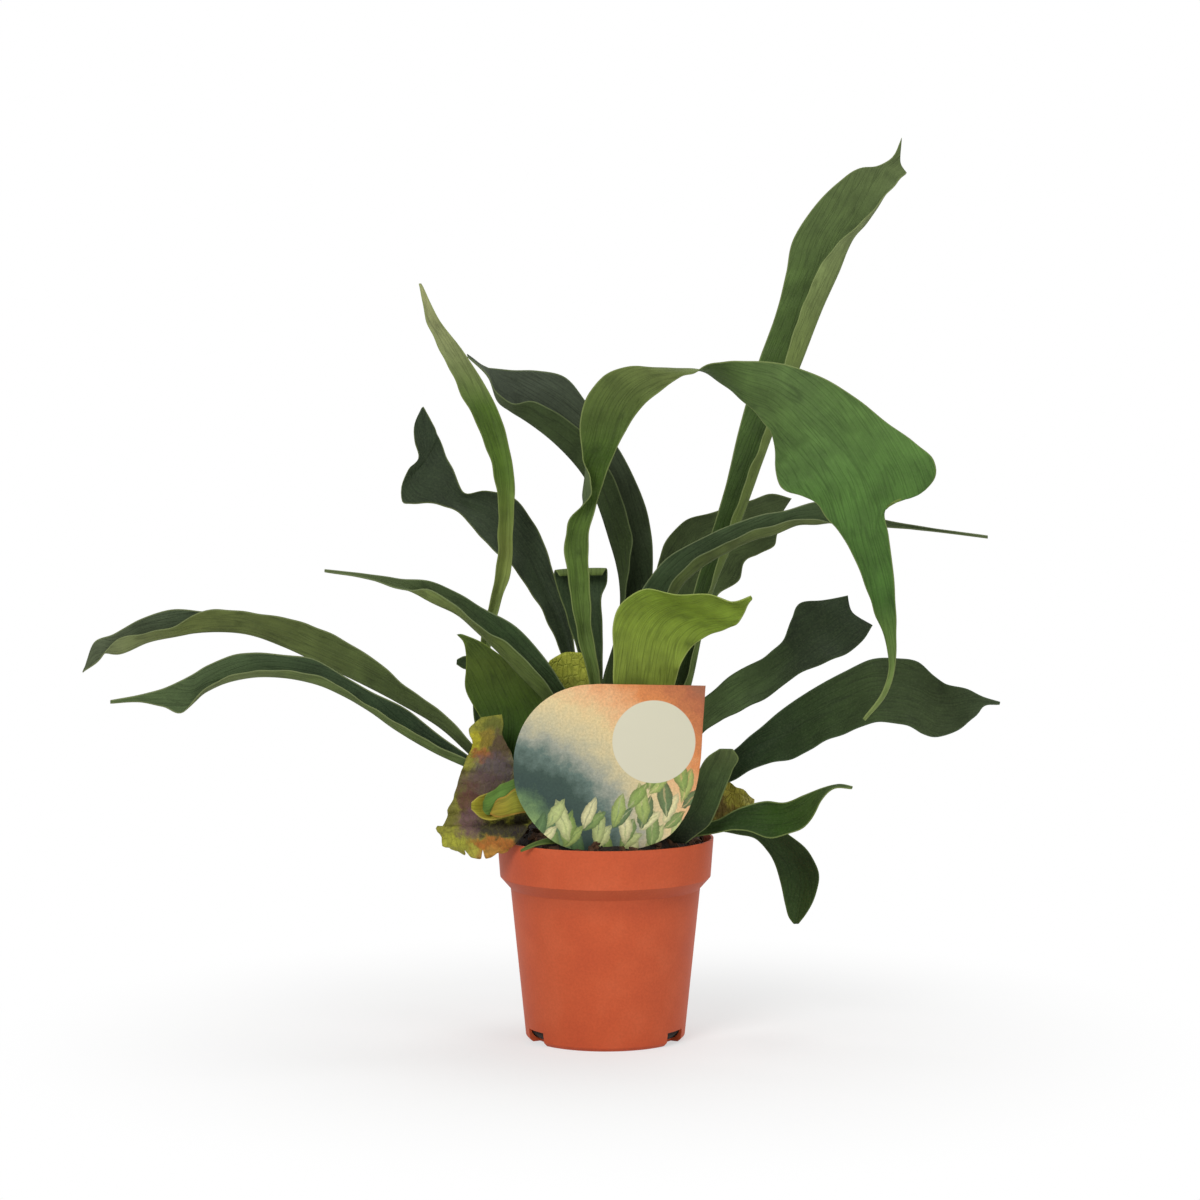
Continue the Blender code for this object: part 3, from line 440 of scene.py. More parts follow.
        (52, 146, 56, 138, -9, 0, 2),
        (66, 156, 70, 143, -10, 0, 3),
        (81, 168.5, 86, 152, -11, 0, 4),
        (97, 182, 103, 155, -12, 0, 5),
        (115, 194.2, 121, 165, -13, 0, 5),
        (132, 203.5, 138, 171.5, -14, 0, 5),
        (148, 210.7, 152, 176, -15, 0, 4),
        (161, 211, 166, 174.3, -16, 0, 4),
        (173, 209, 176, 169.3, -16, 0, 4),
        (181.5, 201.5, 184, 167.4, -17, 0, 4),
        (188, 197, 195.5, 171.5, -17, 0, 3),
        (200, 194, 204, 179, -18, 0, 2),
        (210, 189.3, 210, 185, -18, 0, 0),
        (218.4, 186.9, 218, 185.5, -19, 0, 0),
    )),
    "low_right_frond": (-35.0, -0.3, (
        (50, 119, 53, 112.5, -26, -3, 1),
        (62, 121.5, 65, 114.5, -27, -3, 2),
        (75, 128, 78, 115.5, -27, -3, 3),
        (88, 131.5, 91, 111.5, -27, -3, 3),
        (100, 131, 105, 114.5, -28, -3, 3),
        (110, 135, 114, 121, -29, -2, 2),
        (120, 139, 119.5, 132, -30, -1, 1),
        (130, 141.3, 127, 139, -30, 0, 0),
        (137, 139.9, 136.4, 138.5, -30, 0, 0),
    )),
    "drooping_frond": (20.0, 0.3, (
        (60, 121, 61, 115.5, -7, 0, 1),
        (78, 121, 76, 113, -7, 0, 2),
        (97, 116, 84, 110.5, -7, 0, 2),
        (109, 107, 90, 104, -8, 0, 3),
        (117.3, 96, 94.5, 96, -8, 0, 3),
        (118.6, 88, 97.5, 86, -9, 0, 3),
        (114.5, 75, 100, 74, -10, 0, 3),
        (110.3, 67, 102.3, 66.5, -11, 0, 1),
        (107.2, 63.3, 104.8, 63.3, -11, 0, 0),
    )),
    "front_right_frond": (0.0, 0.2, (
        (31, 114, 50, 112.5, -38, 0, 2),
        (36, 119, 57, 118, -40, 0, 2),
        (43, 127, 61.5, 126.5, -42, 0, 3),
        (48.5, 138, 66, 138, -43, 0, 3),
        (52.5, 150, 70.5, 149.5, -43, 0, 3),
        (57.5, 157, 73.6, 156, -44, 0, 2),
        (63, 160.8, 70.5, 160.8, -44, 0, 1),
    )),
    "broad_left_frond": (8.0, -0.25, (
        (-58, 151, -50, 150, -10, 0, 1),
        (-63, 168, -38, 166, -11, 0, 2),
        (-70, 180, -32, 183, -12, 0, 3),
        (-77, 193, -36, 192.5, -12, 0, 3),
        (-77, 205, -47, 205, -12, 0, 3),
        (-77, 214, -60, 214.5, -12, 0, 2),
        (-78.5, 220.5, -70, 221, -12, 0, 1),
        (-82, 224.4, -79.2, 224.6, -12, 0, 0),
    )),
    "small_left_frond": (15.0, 0.0, (
        (-70, 160, -66, 159, 0, 0, 0.5),
        (-73, 182, -68, 184, -1, 0, 1),
        (-73.5, 198, -68, 202, -2, 0, 1),
        (-75, 204.5, -73, 211, -2, 0, 1),
        (-79, 205.8, -78, 212.3, -2, 0, 0.5),
        (-82.3, 208, -82, 210.5, -2, 0, 0),
    )),
    "curled_frond": (16.0, 0.2, (
        (-6, 139, 0, 139, 8, 0, 1),
        (-11, 185, -2, 185, 15, 0, 1.5),
        (-15, 213, -1.6, 213, 17, 0, 2),
        (-20, 230, -1.8, 230, 17, 0, 2),
        (-25, 246, -2, 246, 17, 0, 3),
        (-28.3, 256.5, 0.8, 254, 16, 0, 3),
        (-27.5, 260.3, 0.5, 261, 12, 0, 2),
        (-25, 257, -2, 257, 8.5, 0, 2),
    )),
    "bud_frond": (0.0, 0.0, (
        (-46, 143.5, -46, 126, -39, -2, 2),
        (-55, 141.5, -54, 123.4, -40, -2, 3),
        (-63, 137, -63.5, 121.4, -40, -2, 3),
        (-70, 134, -70, 123.2, -40, -1, 2),
        (-74.2, 131, -74.4, 127.5, -40, 0, 0),
    )),
    "rim_leaf": (0.0, 0.0, (
        (-30, 111.5, -30, 108, -43, -2, 0),
        (-36, 110, -37, 107.2, -45, -2, 0),
        (-42, 107.6, -42, 105.4, -46.5, -1, 0),
        (-47.2, 104.6, -47, 103.4, -46, 0, 0),
    )),
}
SHIELD_FRONDS = {
    "shield_centre": (0.0, 0.0, (
        (-13, 140, -5, 140, 1, 0, 1),
        (-27, 155, -2, 155, 2, 0, 3),
        (-36, 175, -3, 175, 3, 0, 4),
        (-37, 190, -5, 192, 3, 0, 3),
        (-35.5, 201, -8, 205, 3, 0, 2),
        (-31, 210, -22, 214.5, -10.5, 214, 3, 0, 1),
    )),
    "shield_left": (0.0, 0.0, (
        (-57.5, 180, -68.5, 178.5, -27, 0, 0.5),
        (-56.6, 175, -75.3, 172.3, -29, 0, 1),
        (-57, 168.5, -74.8, 168, -32, 0, 2),
        (-54.5, 162.5, -73.5, 162.5, -34, 0, 2),
        (-51, 156, -76.6, 156, -34, 2, 1),
        (-46.5, 148, -79.8, 148.5, -33, 4, 0),
        (-43.5, 138.5, -82.8, 138.5, -31, 6, -1),
        (-41.5, 129, -86, 129, -30, 8, -2),
        (-41, 121, -88.8, 121, -30, 10, -3),
        (-45, 114, -93.3, 116.5, -34, 14, -3),
        (-49.5, 108.5, -90.3, 109.5, -34, 13, -3),
        (-54.5, 103, -69, 99.5, -84.5, 103.5, -32, 13, -3),
    )),
    "shield_right": (0.0, 0.0, (
        (57, 139, 57, 121, 1, 0, 1),
        (65, 143, 64, 119, 2, 0, 2),
        (73, 139.7, 74, 121, 3, 0, 2),
        (79, 135, 79.5, 125, 3, 0, 1),
        (82.7, 132.6, 82.3, 128.6, 3, 0, 0),
    )),
}
print(len(STRAP_FRONDS), "strap fronds and", len(SHIELD_FRONDS), "shield fronds")

# %% The loft between three rails
FOLD = 0.35                    # roundness of the fold along the midrib
SWEEP_CURVE = 1.5              # a sweep starts slowly at the base
ROLL_START = 0.3               # share of the length over which a roll sets in
ROOTED = 7.0                   # how far a base runs on into the rhizome
ROW_SPACING = 1.6              # between the rows of the mesh, along the blade
COLUMNS = 27                   # points across one face


def carried(x, y, z):
    """Carry a point, drawn on the plane y = 0, along its line of sight to depth y."""
    reach = 1.0 - y / EYE[1]
    return EYE[0] + (x - EYE[0]) * reach, y, EYE[2] + (z - EYE[2]) * reach


def rails_of(stations, sweep, roll):
    """The margin, midrib and other margin at each station, as an array of points."""
    outlines = []
    for *outline, depth, turn, cup in stations:
        if len(outline) == 4:
            ax, az, bx, bz = outline
            outline = (ax, az, (ax + bx) / 2.0, (az + bz) / 2.0, bx, bz)
        outlines.append(outline)
    middles = np.array(outlines)[:, 2:4]
    lengths = np.concatenate([[0.0], np.cumsum(np.linalg.norm(np.diff(middles, axis=0), axis=1))])
    rails = []
    for (ax, az, mx, mz, bx, bz), station, share in zip(outlines, stations, lengths / lengths[-1]):
        depth, turn, cup = station[-3:]
        depth += sweep * share ** SWEEP_CURVE
        turn += roll * math.hypot(bx - ax, bz - az) * min(1.0, share / ROLL_START)
        rails.append((carried(ax, depth - turn / 2.0, az), carried(mx, depth + cup, mz),
                      carried(bx, depth + turn / 2.0, bz)))
    return np.array(rails)


def smooth(rows, spacing):
    """Smooth curves through rows of points, with new rows about spacing apart.

    Each curve is a cubic between rows, with the slope of the parabola through a row and its two
    neighbours. The knots are spaced by the mean distance between rows.
    """
    spans = np.linalg.norm(np.diff(rows, axis=0), axis=2).mean(axis=1)
    wide = spans[:, None, None]
    chords = np.diff(rows, axis=0) / wide
    slopes = np.empty_like(rows)
    slopes[1:-1] = (chords[:-1] * wide[1:] + chords[1:] * wide[:-1]) / (wide[1:] + wide[:-1])
    slopes[0], slopes[-1] = chords[0], chords[-1]
    out = []
    for i, span in enumerate(spans):
        steps = max(1, round(span / spacing))
        for t in np.arange(steps) / steps:
            out.append(rows[i] * (1 + 2 * t) * (1 - t) ** 2 + rows[i + 1] * t * t * (3 - 2 * t)
                       + span * (slopes[i] * t * (1 - t) ** 2 - slopes[i + 1] * t * t * (1 - t)))
    out.append(rows[-1])
    return np.array(out)


def unit(vectors):
    """Vectors of length 1."""
    return vectors / np.maximum(np.linalg.norm(vectors, axis=-1, keepdims=True), 1e-9)


def places_across(columns):
    """Places from -1 to 1 between the margins, closer together near the margins."""
    even = np.linspace(-1.0, 1.0, columns)
    return np.sin(even * math.pi / 2.0) * 0.6 + even * 0.4


def surface(sweep, roll, stations, rooted=ROOTED, columns=COLUMNS):
    """The blade's middle surface as a grid of points, rows from base to tip."""
    rails = rails_of(stations, sweep, roll)
    if rooted:
        rails = np.concatenate([rails[:1] - unit(rails[1:2] - rails[:1]) * rooted, rails])
    rails = smooth(rails, ROW_SPACING)
    first, rib, second = rails[:, 0:1], rails[:, 1:2], rails[:, 2:3]
    u = places_across(columns)[None, :, None]
    bend = (np.hypot(u, FOLD) - FOLD) / (math.hypot(1.0, FOLD) - FOLD)
    return rib + u * (second - first) / 2.0 + bend * ((first + second) / 2.0 - rib)


def normals(grid):
    """The upper face's normal at each point of a grid."""
    made = unit(np.cross(np.gradient(grid, axis=1), np.gradient(grid, axis=0)))
    return unit(made + np.roll(made, 1, axis=0) * 0.001)

# %% From a surface to a closed blade
EDGE_SHARE = 0.45              # half thickness at the margins, as a share of that at the midrib


def ripple(grid, height, lengths, seed):
    """Raise and lower a grid along its normals in long soft waves, most at the margins."""
    phases = np.random.default_rng(seed).uniform(0.0, math.tau, (len(lengths), 2))
    columns = grid.shape[1]
    middle = grid[:, columns // 2]
    along = np.concatenate([[0.0], np.cumsum(np.linalg.norm(np.diff(middle, axis=0), axis=1))])
    width = np.linalg.norm(grid[:, -1] - grid[:, 0], axis=1)
    u = places_across(columns)[None, :]
    wave = np.zeros(grid.shape[:2])
    for length, (left, right) in zip(lengths, phases):
        turn = math.tau * along[:, None] / length
        wave += np.where(u < 0, np.sin(turn + left), np.sin(turn + right)) * u * u
    calm = np.clip(width / 10.0, 0.0, 1.0) * np.clip(along / 25.0, 0.0, 1.0)
    return grid + normals(grid) * (wave * calm[:, None])[..., None] * height / len(lengths)


def blade(name, grid, thickness):
    """A closed mesh around a grid, with the values that its material reads.

    Vertex values: along runs 0 to 1 from base to tip, edge is the distance to the nearest
    margin in millimetres, face is 1 on the upper face and 0 on the underside. The UV map holds
    the distance from the midrib and from the base, in units of 100 mm.
    """
    rows, columns = grid.shape[:2]
    up = normals(grid)
    steps = np.linalg.norm(np.diff(grid, axis=1), axis=2)
    across = np.concatenate([np.zeros((rows, 1)), np.cumsum(steps, axis=1)], axis=1)
    width = across[:, -1:]
    edge = np.minimum(across, width - across)
    middle = grid[:, columns // 2]
    along = np.concatenate([[0.0], np.cumsum(np.linalg.norm(np.diff(middle, axis=0), axis=1))])
    along = np.repeat(along[:, None], columns, axis=1)
    across = across - across[:, columns // 2][:, None]

    u = np.abs(places_across(columns))[None, :]
    half = np.minimum(thickness / 2.0, width * 0.3) * (1.0 - (1.0 - EDGE_SHARE) * u ** 4)
    top = grid + up * half[..., None]
    bottom = (grid - up * half[..., None])[:, ::-1]
    nose_first = grid[:, 0] + unit(grid[:, 0] - grid[:, 1]) * half[:, 0:1]
    nose_second = grid[:, -1] + unit(grid[:, -1] - grid[:, -2]) * half[:, -1:]
    points = np.concatenate([top, nose_second[:, None], bottom, nose_first[:, None]], axis=1)

    def ring(values, second, first):
        """The values of one face, carried round the ring of points."""
        return np.concatenate([values, second, values[:, ::-1], first], axis=1)

    ring_across = ring(across, across[:, -1:], across[:, :1])
    ring_along = ring(along, along[:, -1:], along[:, :1])
    ring_edge = ring(edge, edge[:, -1:], edge[:, :1])
    one_ring = np.array([[1.0] * columns + [0.5] + [0.0] * columns + [0.5]])
    ring_face = np.repeat(one_ring, rows, axis=0)

    size = 2 * columns + 2
    start = np.arange(rows - 1)[:, None] * size
    here = np.arange(size)[None, :]
    after = (here + 1) % size
    faces = np.stack([start + here, start + after, start + size + after, start + size + here],
                     axis=-1).reshape(-1, 4).tolist()
    for row, tip in ((0, False), ((rows - 1) * size, True)):
        cap = [(j, j + 1, 2 * columns - j - 1, 2 * columns - j) for j in range(columns - 1)]
        cap += [(columns - 1, columns, columns + 1), (2 * columns, 2 * columns + 1, 0)]
        faces += [[row + i for i in (face if tip else face[::-1])] for face in cap]

    mesh = bpy.data.meshes.new(name)
    mesh.from_pydata((points.reshape(-1, 3) * MM).tolist(), [], faces)
    for label, values in (("along", ring_along / ring_along.max()), ("edge", ring_edge),
                          ("face", ring_face)):
        layer = mesh.attributes.new(label, "FLOAT", "POINT")
        layer.data.foreach_set("value", values.reshape(-1).astype(np.float32))
    flat = np.stack([ring_across.reshape(-1), ring_along.reshape(-1)], axis=1) / 100.0
    corners = np.zeros(len(mesh.loops), np.int32)
    mesh.loops.foreach_get("vertex_index", corners)
    mesh.uv_layers.new(name="blade_map").data.foreach_set(
        "uv", flat[corners].reshape(-1).astype(np.float32))
    mesh.shade_smooth()
    return in_scene(name, mesh)


def finish_piece(piece, finish, slot, *nodes):
    """Give a piece its material, and put it in the place of its nodes in the frame."""
    piece.data.materials.clear()
    piece.data.materials.append(finish)
    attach(piece, BODY)
    if nodes:
        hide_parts(*nodes)

# %% [markdown]
# ## Frond tissue
#
# A staghorn frond is thick and leathery. Its upper face is dark green under a thin bloom of
# tiny star-shaped hairs, which makes it look matt and a little blue. The underside carries more
# hairs, so it is paler and more olive. Both faces show fine veins that run lengthwise and fork,
# and the margin is a thin pale line. The material reads the values that the loft left on the
# mesh, so the veins follow every twist of the blade.

# %% Frond material
VEIN_SPACING = 2.6             # millimetres between veins
VEIN_REACH = 40.0              # millimetres over which a vein wanders
STREAK_WIDTH = 0.8             # millimetres, the fine grain between veins
STREAK_LENGTH = 18.0
MOTTLE = 14.0                  # millimetres, soft patches of lighter and darker tissue
HAIR_TUFT = 1.1                # millimetres: real star hairs are 0.3, too fine to show


def frond_tissue(name, upper, under, margin, margin_width=0.42, bloom=0.08, seed=0.0):
    """Leathery leaf tissue. upper and under are colours from base to tip, evenly spaced."""
    made, tree, output = new_material(name)
    along = add_node(tree, "ShaderNodeAttribute", {"attribute_name": "along"})
    edge = add_node(tree, "ShaderNodeAttribute", {"attribute_name": "edge"})
    face = add_node(tree, "ShaderNodeAttribute", {"attribute_name": "face"})
    chart = add_node(tree, "ShaderNodeUVMap", {"uv_map": "blade_map"})
    place = add_node(tree, "ShaderNodeTexCoord")

    grain = add_node(tree, "ShaderNodeVectorMath", {"operation": "MULTIPLY_ADD"},
                     {0: chart.outputs["UV"], 1: (100.0 / STREAK_WIDTH, 100.0 / STREAK_LENGTH, 0.0),
                      2: (seed, seed, seed)})
    grain = add_node(tree, "ShaderNodeTexNoise", (),
                     {"Vector": grain.outputs[0], "Scale": 1.0, "Detail": 3.0, "Roughness": 0.6})
    vein = add_node(tree, "ShaderNodeVectorMath", {"operation": "MULTIPLY_ADD"},
                    {0: chart.outputs["UV"], 1: (100.0 / VEIN_SPACING, 100.0 / VEIN_REACH, 0.0),
                     2: (-seed, seed, seed)})
    vein = add_node(tree, "ShaderNodeTexNoise", (),
                    {"Vector": vein.outputs[0], "Scale": 1.0, "Detail": 0.0})
    vein = add_node(tree, "ShaderNodeMath", {"operation": "SUBTRACT"},
                    {0: vein.outputs["Fac"], 1: 0.5})
    vein = add_node(tree, "ShaderNodeMath", {"operation": "ABSOLUTE"}, {0: vein.outputs[0]})
    vein = add_node(tree, "ShaderNodeMapRange", {"interpolation_type": "SMOOTHSTEP"},
                    {"Value": vein.outputs[0], "From Max": 0.06, "To Min": 1.0, "To Max": 0.0})
    patch = add_node(tree, "ShaderNodeTexNoise", (),
                     {"Vector": place.outputs["Object"], "Scale": 1.0 / (MOTTLE * MM),
                      "Detail": 3.0, "Roughness": 0.55})
    tuft = add_node(tree, "ShaderNodeTexNoise", (),
                    {"Vector": place.outputs["Object"], "Scale": 1.0 / (HAIR_TUFT * MM),
                     "Detail": 2.0})

    faces = []
    for colours in (under, upper):
        stops = [(i / (len(colours) - 1), linear(c)) for i, c in enumerate(colours)]
        faces.append(add_node(tree, "ShaderNodeValToRGB", {"stops": stops},
                              {"Fac": along.outputs["Fac"]}))
    base = add_node(tree, "ShaderNodeMix", {"data_type": "RGBA"},
                    {0: face.outputs["Fac"], 6: faces[0].outputs["Color"],
                     7: faces[1].outputs["Color"]})
    light = add_node(tree, "ShaderNodeMapRange", (),
                     {"Value": patch.outputs["Fac"], "From Min": 0.3, "From Max": 0.7,
                      "To Min": 0.80, "To Max": 1.22})
    fine = add_node(tree, "ShaderNodeMapRange", (),
                    {"Value": grain.outputs["Fac"], "From Min": 0.3, "From Max": 0.7,
                     "To Min": 0.84, "To Max": 1.17})
    light = add_node(tree, "ShaderNodeMath", {"operation": "MULTIPLY"},
                     {0: light.outputs["Result"], 1: fine.outputs["Result"]})
    base = add_node(tree, "ShaderNodeVectorMath", {"operation": "SCALE"},
                    {0: base.outputs[2], "Scale": light.outputs[0]})
    lines = add_node(tree, "ShaderNodeMath", {"operation": "MULTIPLY"},
                     {0: vein.outputs["Result"], 1: 0.30})
    base = add_node(tree, "ShaderNodeMix", {"data_type": "RGBA", "blend_type": "MULTIPLY"},
                    {0: lines.outputs[0], 6: base.outputs[0], 7: linear("#5C6B4C")})
    hairs = add_node(tree, "ShaderNodeMapRange", (),
                     {"Value": tuft.outputs["Fac"], "From Min": 0.45, "From Max": 0.75,
                      "To Max": bloom})
    base = add_node(tree, "ShaderNodeMix", {"data_type": "RGBA"},
                    {0: hairs.outputs["Result"], 6: base.outputs[2], 7: linear("#77835C")})
    rim = add_node(tree, "ShaderNodeMapRange", {"interpolation_type": "SMOOTHSTEP"},
                   {"Value": edge.outputs["Fac"], "From Min": margin_width * 0.3,
                    "From Max": margin_width * 1.6, "To Min": 0.6, "To Max": 0.0})
    base = add_node(tree, "ShaderNodeMix", {"data_type": "RGBA"},
                    {0: rim.outputs["Result"], 6: base.outputs[2], 7: linear(margin)})

    relief = add_node(tree, "ShaderNodeMath", {"operation": "MULTIPLY_ADD"},
                      {0: vein.outputs["Result"], 1: -0.6, 2: grain.outputs["Fac"]})
    relief = add_node(tree, "ShaderNodeMath", {"operation": "MULTIPLY_ADD"},
                      {0: tuft.outputs["Fac"], 1: 0.5, 2: relief.outputs[0]})
    relief = add_node(tree, "ShaderNodeBump", (),
                      {"Strength": 0.45, "Distance": 0.0004, "Height": relief.outputs[0]})
    rough = add_node(tree, "ShaderNodeMapRange", (),
                     {"Value": grain.outputs["Fac"], "To Min": 0.52, "To Max": 0.72})
    shader = add_node(tree, "ShaderNodeBsdfPrincipled", (),
                      {"Base Color": base.outputs[2], "Roughness": rough.outputs["Result"],
                       "IOR": 1.42, "Specular IOR Level": 0.18, "Sheen Weight": 0.02,
                       "Sheen Roughness": 0.45, "Sheen Tint": linear("#C8D0A0"),
                       "Normal": relief.outputs["Normal"]})
    tree.links.new(shader.outputs[0], output.inputs["Surface"])
    return made

# %% [markdown]
# ## The strap fronds
#
# Each frond has its own age and light, so each has its own greens. The oldest are dark and
# bluish and the youngest are yellow-green. Light and shade are painted into the greens as well:
# one that stands in the light is painted a fresh green, and most are darker at the base, where
# the fronds crowd together and shade falls.

# %% Greens of the strap fronds
# Painted shade: most ramps start dark at the base, where the fronds crowd and shade falls.
FROND_LOOKS = {
    "arching_frond": {
        "upper": ("#33471E", "#33471E", "#3A4E2C", "#52603C", "#35461A", "#4E6434", "#4A6A30",
                  "#3A5A22", "#6E7C44"),
        "under": ("#53622E", "#586A36", "#4C6228", "#3A501A", "#5E6A38", "#5C7030", "#5C7030",
                  "#5C7030", "#6E7C44"), "margin": "#7E8A52"},
    "tall_frond": {"upper": ("#26360F", "#2E401A", "#34491C", "#3A5020", "#465A2A", "#525F38"),
                   "under": ("#46562A", "#4F5F2C", "#5B6B30", "#64743A", "#6E7C4A", "#77815A"),
                   "margin": "#7E8A56"},
    "folded_frond": {"upper": ("#1E2C14", "#202E18", "#222F18", "#343F28", "#40483A", "#40483A"),
                     "under": ("#3A4A22", "#384822", "#303E1A", "#2C391C", "#384626", "#465032"),
                     "margin": "#66724A"},
    "upright_frond": {
        "upper": ("#4E5E28", "#52662A", "#5C6A34", "#74803E", "#56702A", "#445C1C", "#7A8254",
                  "#8C8E62"),
        "under": ("#4E5E28", "#586A2C", "#5C6A34", "#74803E", "#56702A", "#445C1C", "#7A8254",
                  "#8C8E62"), "margin": "#7E8A4E"},
    "forked_frond": {"upper": ("#1E2A14", "#222E1A", "#26321E", "#2A3522", "#26321F"),
                     "under": ("#46562A", "#525F2C", "#5A6634", "#66703E", "#5A6634"),
                     "margin": "#6E784A"},
    "pointed_frond": {"upper": ("#202D16", "#26361C", "#2C3E20", "#3E4C2A", "#4A5632"),
                      "under": ("#3E5026", "#4A5A2C", "#55632E", "#64703E", "#6E784A"),
                      "margin": "#76825A"},
    "long_frond_upper": {"upper": ("#22301A", "#20301A", "#24331C", "#3A4630", "#525A42"),
                         "under": ("#3C4826", "#424F28", "#525D30", "#5C6634", "#78805A"),
                         "margin": "#7A8358"},
    "long_frond_lower": {"upper": ("#20301A", "#22321C", "#34442A", "#445434", "#4A5A34"),
                         "under": ("#4A5A2E", "#505E30", "#586638", "#5E6A40", "#5A683C"),
                         "margin": "#7A8358"},
    "broad_back_frond": {"upper": ("#26341A", "#344424", "#42502C", "#44512F"),
                         "under": ("#4A5A2C", "#55662F", "#4F6032"), "margin": "#6E7A48"},
    "long_thin_frond": {"upper": ("#30411F", "#34452A", "#3E4E30", "#4E5A38"),
                        "under": ("#4C5C30", "#54622F", "#5E6A3C", "#626C42"),
                        "margin": "#76805A"},
    "young_frond": {"upper": ("#62702C", "#6E7C34", "#748432", "#6C8228", "#70862A"),
                    "under": ("#62702C", "#6E7C34", "#748432", "#6C8228", "#70862A"),
                    "margin": "#98A45A"},
    "right_frond_upper": {"upper": ("#3A4C22", "#465830", "#42542E", "#1C2812", "#222E1A"),
                          "under": ("#3E5430", "#42583A", "#4A5E3A"), "margin": "#424F30"},
    "right_frond_lower": {"upper": ("#1A2A10", "#1C2C14", "#263618", "#2E3C1E", "#303C20",
                                    "#34402A"),
                          "under": ("#3E5430", "#42583A", "#4A5E3A"), "margin": "#46543A"},
    "low_right_frond": {"upper": ("#2A3A18", "#20340F", "#28400F", "#34481C", "#445430"),
                        "under": ("#5C7030", "#55692E", "#55692E"), "margin": "#7C8A50"},
    "drooping_frond": {"upper": ("#2C3C18", "#243414", "#243616", "#2C4018"),
                       "under": ("#4C6428", "#4E682A", "#4E682A"), "margin": "#4E5E30"},
    # Painted shade: this frond's nearly black base lies behind the label.
    "front_right_frond": {"upper": ("#141A0E", "#1E2A14", "#2C3C1C", "#3A4A26", "#4A5630"),
                          "under": ("#4C6428", "#4E682A", "#4E682A"), "margin": "#6C7848"},
    "broad_left_frond": {"upper": ("#1E3A0C", "#2C4814", "#3F5418", "#4A5A20", "#4E6228"),
                         "under": ("#55752F", "#55752F", "#55752F"), "margin": "#6E7C30"},
    "small_left_frond": {"upper": ("#222F16", "#2A3A1C"), "under": ("#4A5A2C", "#55662F"),
                         "margin": "#5E6A3A"},
    "curled_frond": {"upper": ("#222F16", "#2A3A1C", "#32422A"),
                     "under": ("#4A5A2C", "#4A5A2C", "#55662F"), "margin": "#6E7A48"},
    "bud_frond": {"upper": ("#5E7A1C", "#74841E", "#8A8A24"),
                  "under": ("#7A5A26", "#8A7A24", "#96902A"), "margin": "#B0A448"},
    "rim_leaf": {"upper": ("#2E4414", "#3A5020"), "under": ("#3A5020", "#4A5E28"),
                 "margin": "#6C7A3C"},
}
FROND_THICKNESS = 1.1
BUDDING = ("young_frond", "bud_frond")
WAVE_LENGTHS = (46.0, 27.0, 17.0)
WAVE_HEIGHT = 0.9

# %% Make the strap fronds
for number, (name, drawn) in enumerate(STRAP_FRONDS.items()):
    look = FROND_LOOKS[name]
    grid = ripple(surface(*drawn), WAVE_HEIGHT, WAVE_LENGTHS, number)
    piece = blade(name + "_blade", grid, FROND_THICKNESS)
    finish = frond_tissue("living_leaf_" + name, look["upper"], look["under"], look["margin"],
                          seed=float(number * 7))
    finish_piece(piece, finish, "young_frond" if name in BUDDING else "frond", name)
    print(name, len(piece.data.vertices), "points")

# %% [markdown]
# ## The shield fronds
#
# Shield fronds are thin as paper, with a netted vein pattern and a wavy, torn margin. The
# young ones are yellow-green and the old ones dry to brown from the middle. They are lofted as
# the straps are, with taller and shorter waves, and their colours are stains laid one over
# another, each an ellipse whose edge wanders with a noise. On the left shield the two darkest
# of these are painted shade, in its hollow.

# %% Shield frond shapes
SHIELD_THICKNESS = 0.7
SHIELD_WAVES = (21.0, 12.0, 7.5)
SHIELD_COLUMNS = 61
WAVE_OF_SHIELD = {"shield_centre": 1.6, "shield_left": 3.4, "shield_right": 4.0}
SHIELD_SEED = 40               # the waves of the shields and of the bud start from these
BUD_SEED = 60
TORN_REACH = 9.0               # how far a tear runs back from the tip, in millimetres
TEARS = ((0.46, 0.022, 6.0), (0.74, 0.03, 4.5), (0.20, 0.06, 1.8), (0.90, 0.04, 2.0))


def torn(grid, tears):
    """Pull the tip's edge back in narrow tears: place from margin A, width and depth of each."""
    shares = (places_across(grid.shape[1]) + 1.0) / 2.0
    pull = sum(depth * np.exp(-((shares - place) / width) ** 2) for place, width, depth in tears)
    along = np.linalg.norm(np.diff(grid, axis=0), axis=2).mean(axis=1)
    left = np.concatenate([np.cumsum(along[::-1])[::-1], [0.0]])
    hold = np.clip(1.0 - left / TORN_REACH, 0.0, 1.0)
    ahead = unit(grid[-1] - grid[-4])[None]
    return grid - ahead * (hold[:, None] * pull[None, :])[..., None]


# %% Shield frond material
NET_CELL = 3.0                 # millimetres across one mesh of the veins
NET_STRETCH = 0.55             # the meshes are this much taller than wide
PAINT_WANDER = 7.0             # how far the edge of a stain wanders, in millimetres
PAINT_CELL = 6.0               # millimetres over which it wanders
PAPER_MOTTLE = 2.4             # millimetres, light and dark flecks
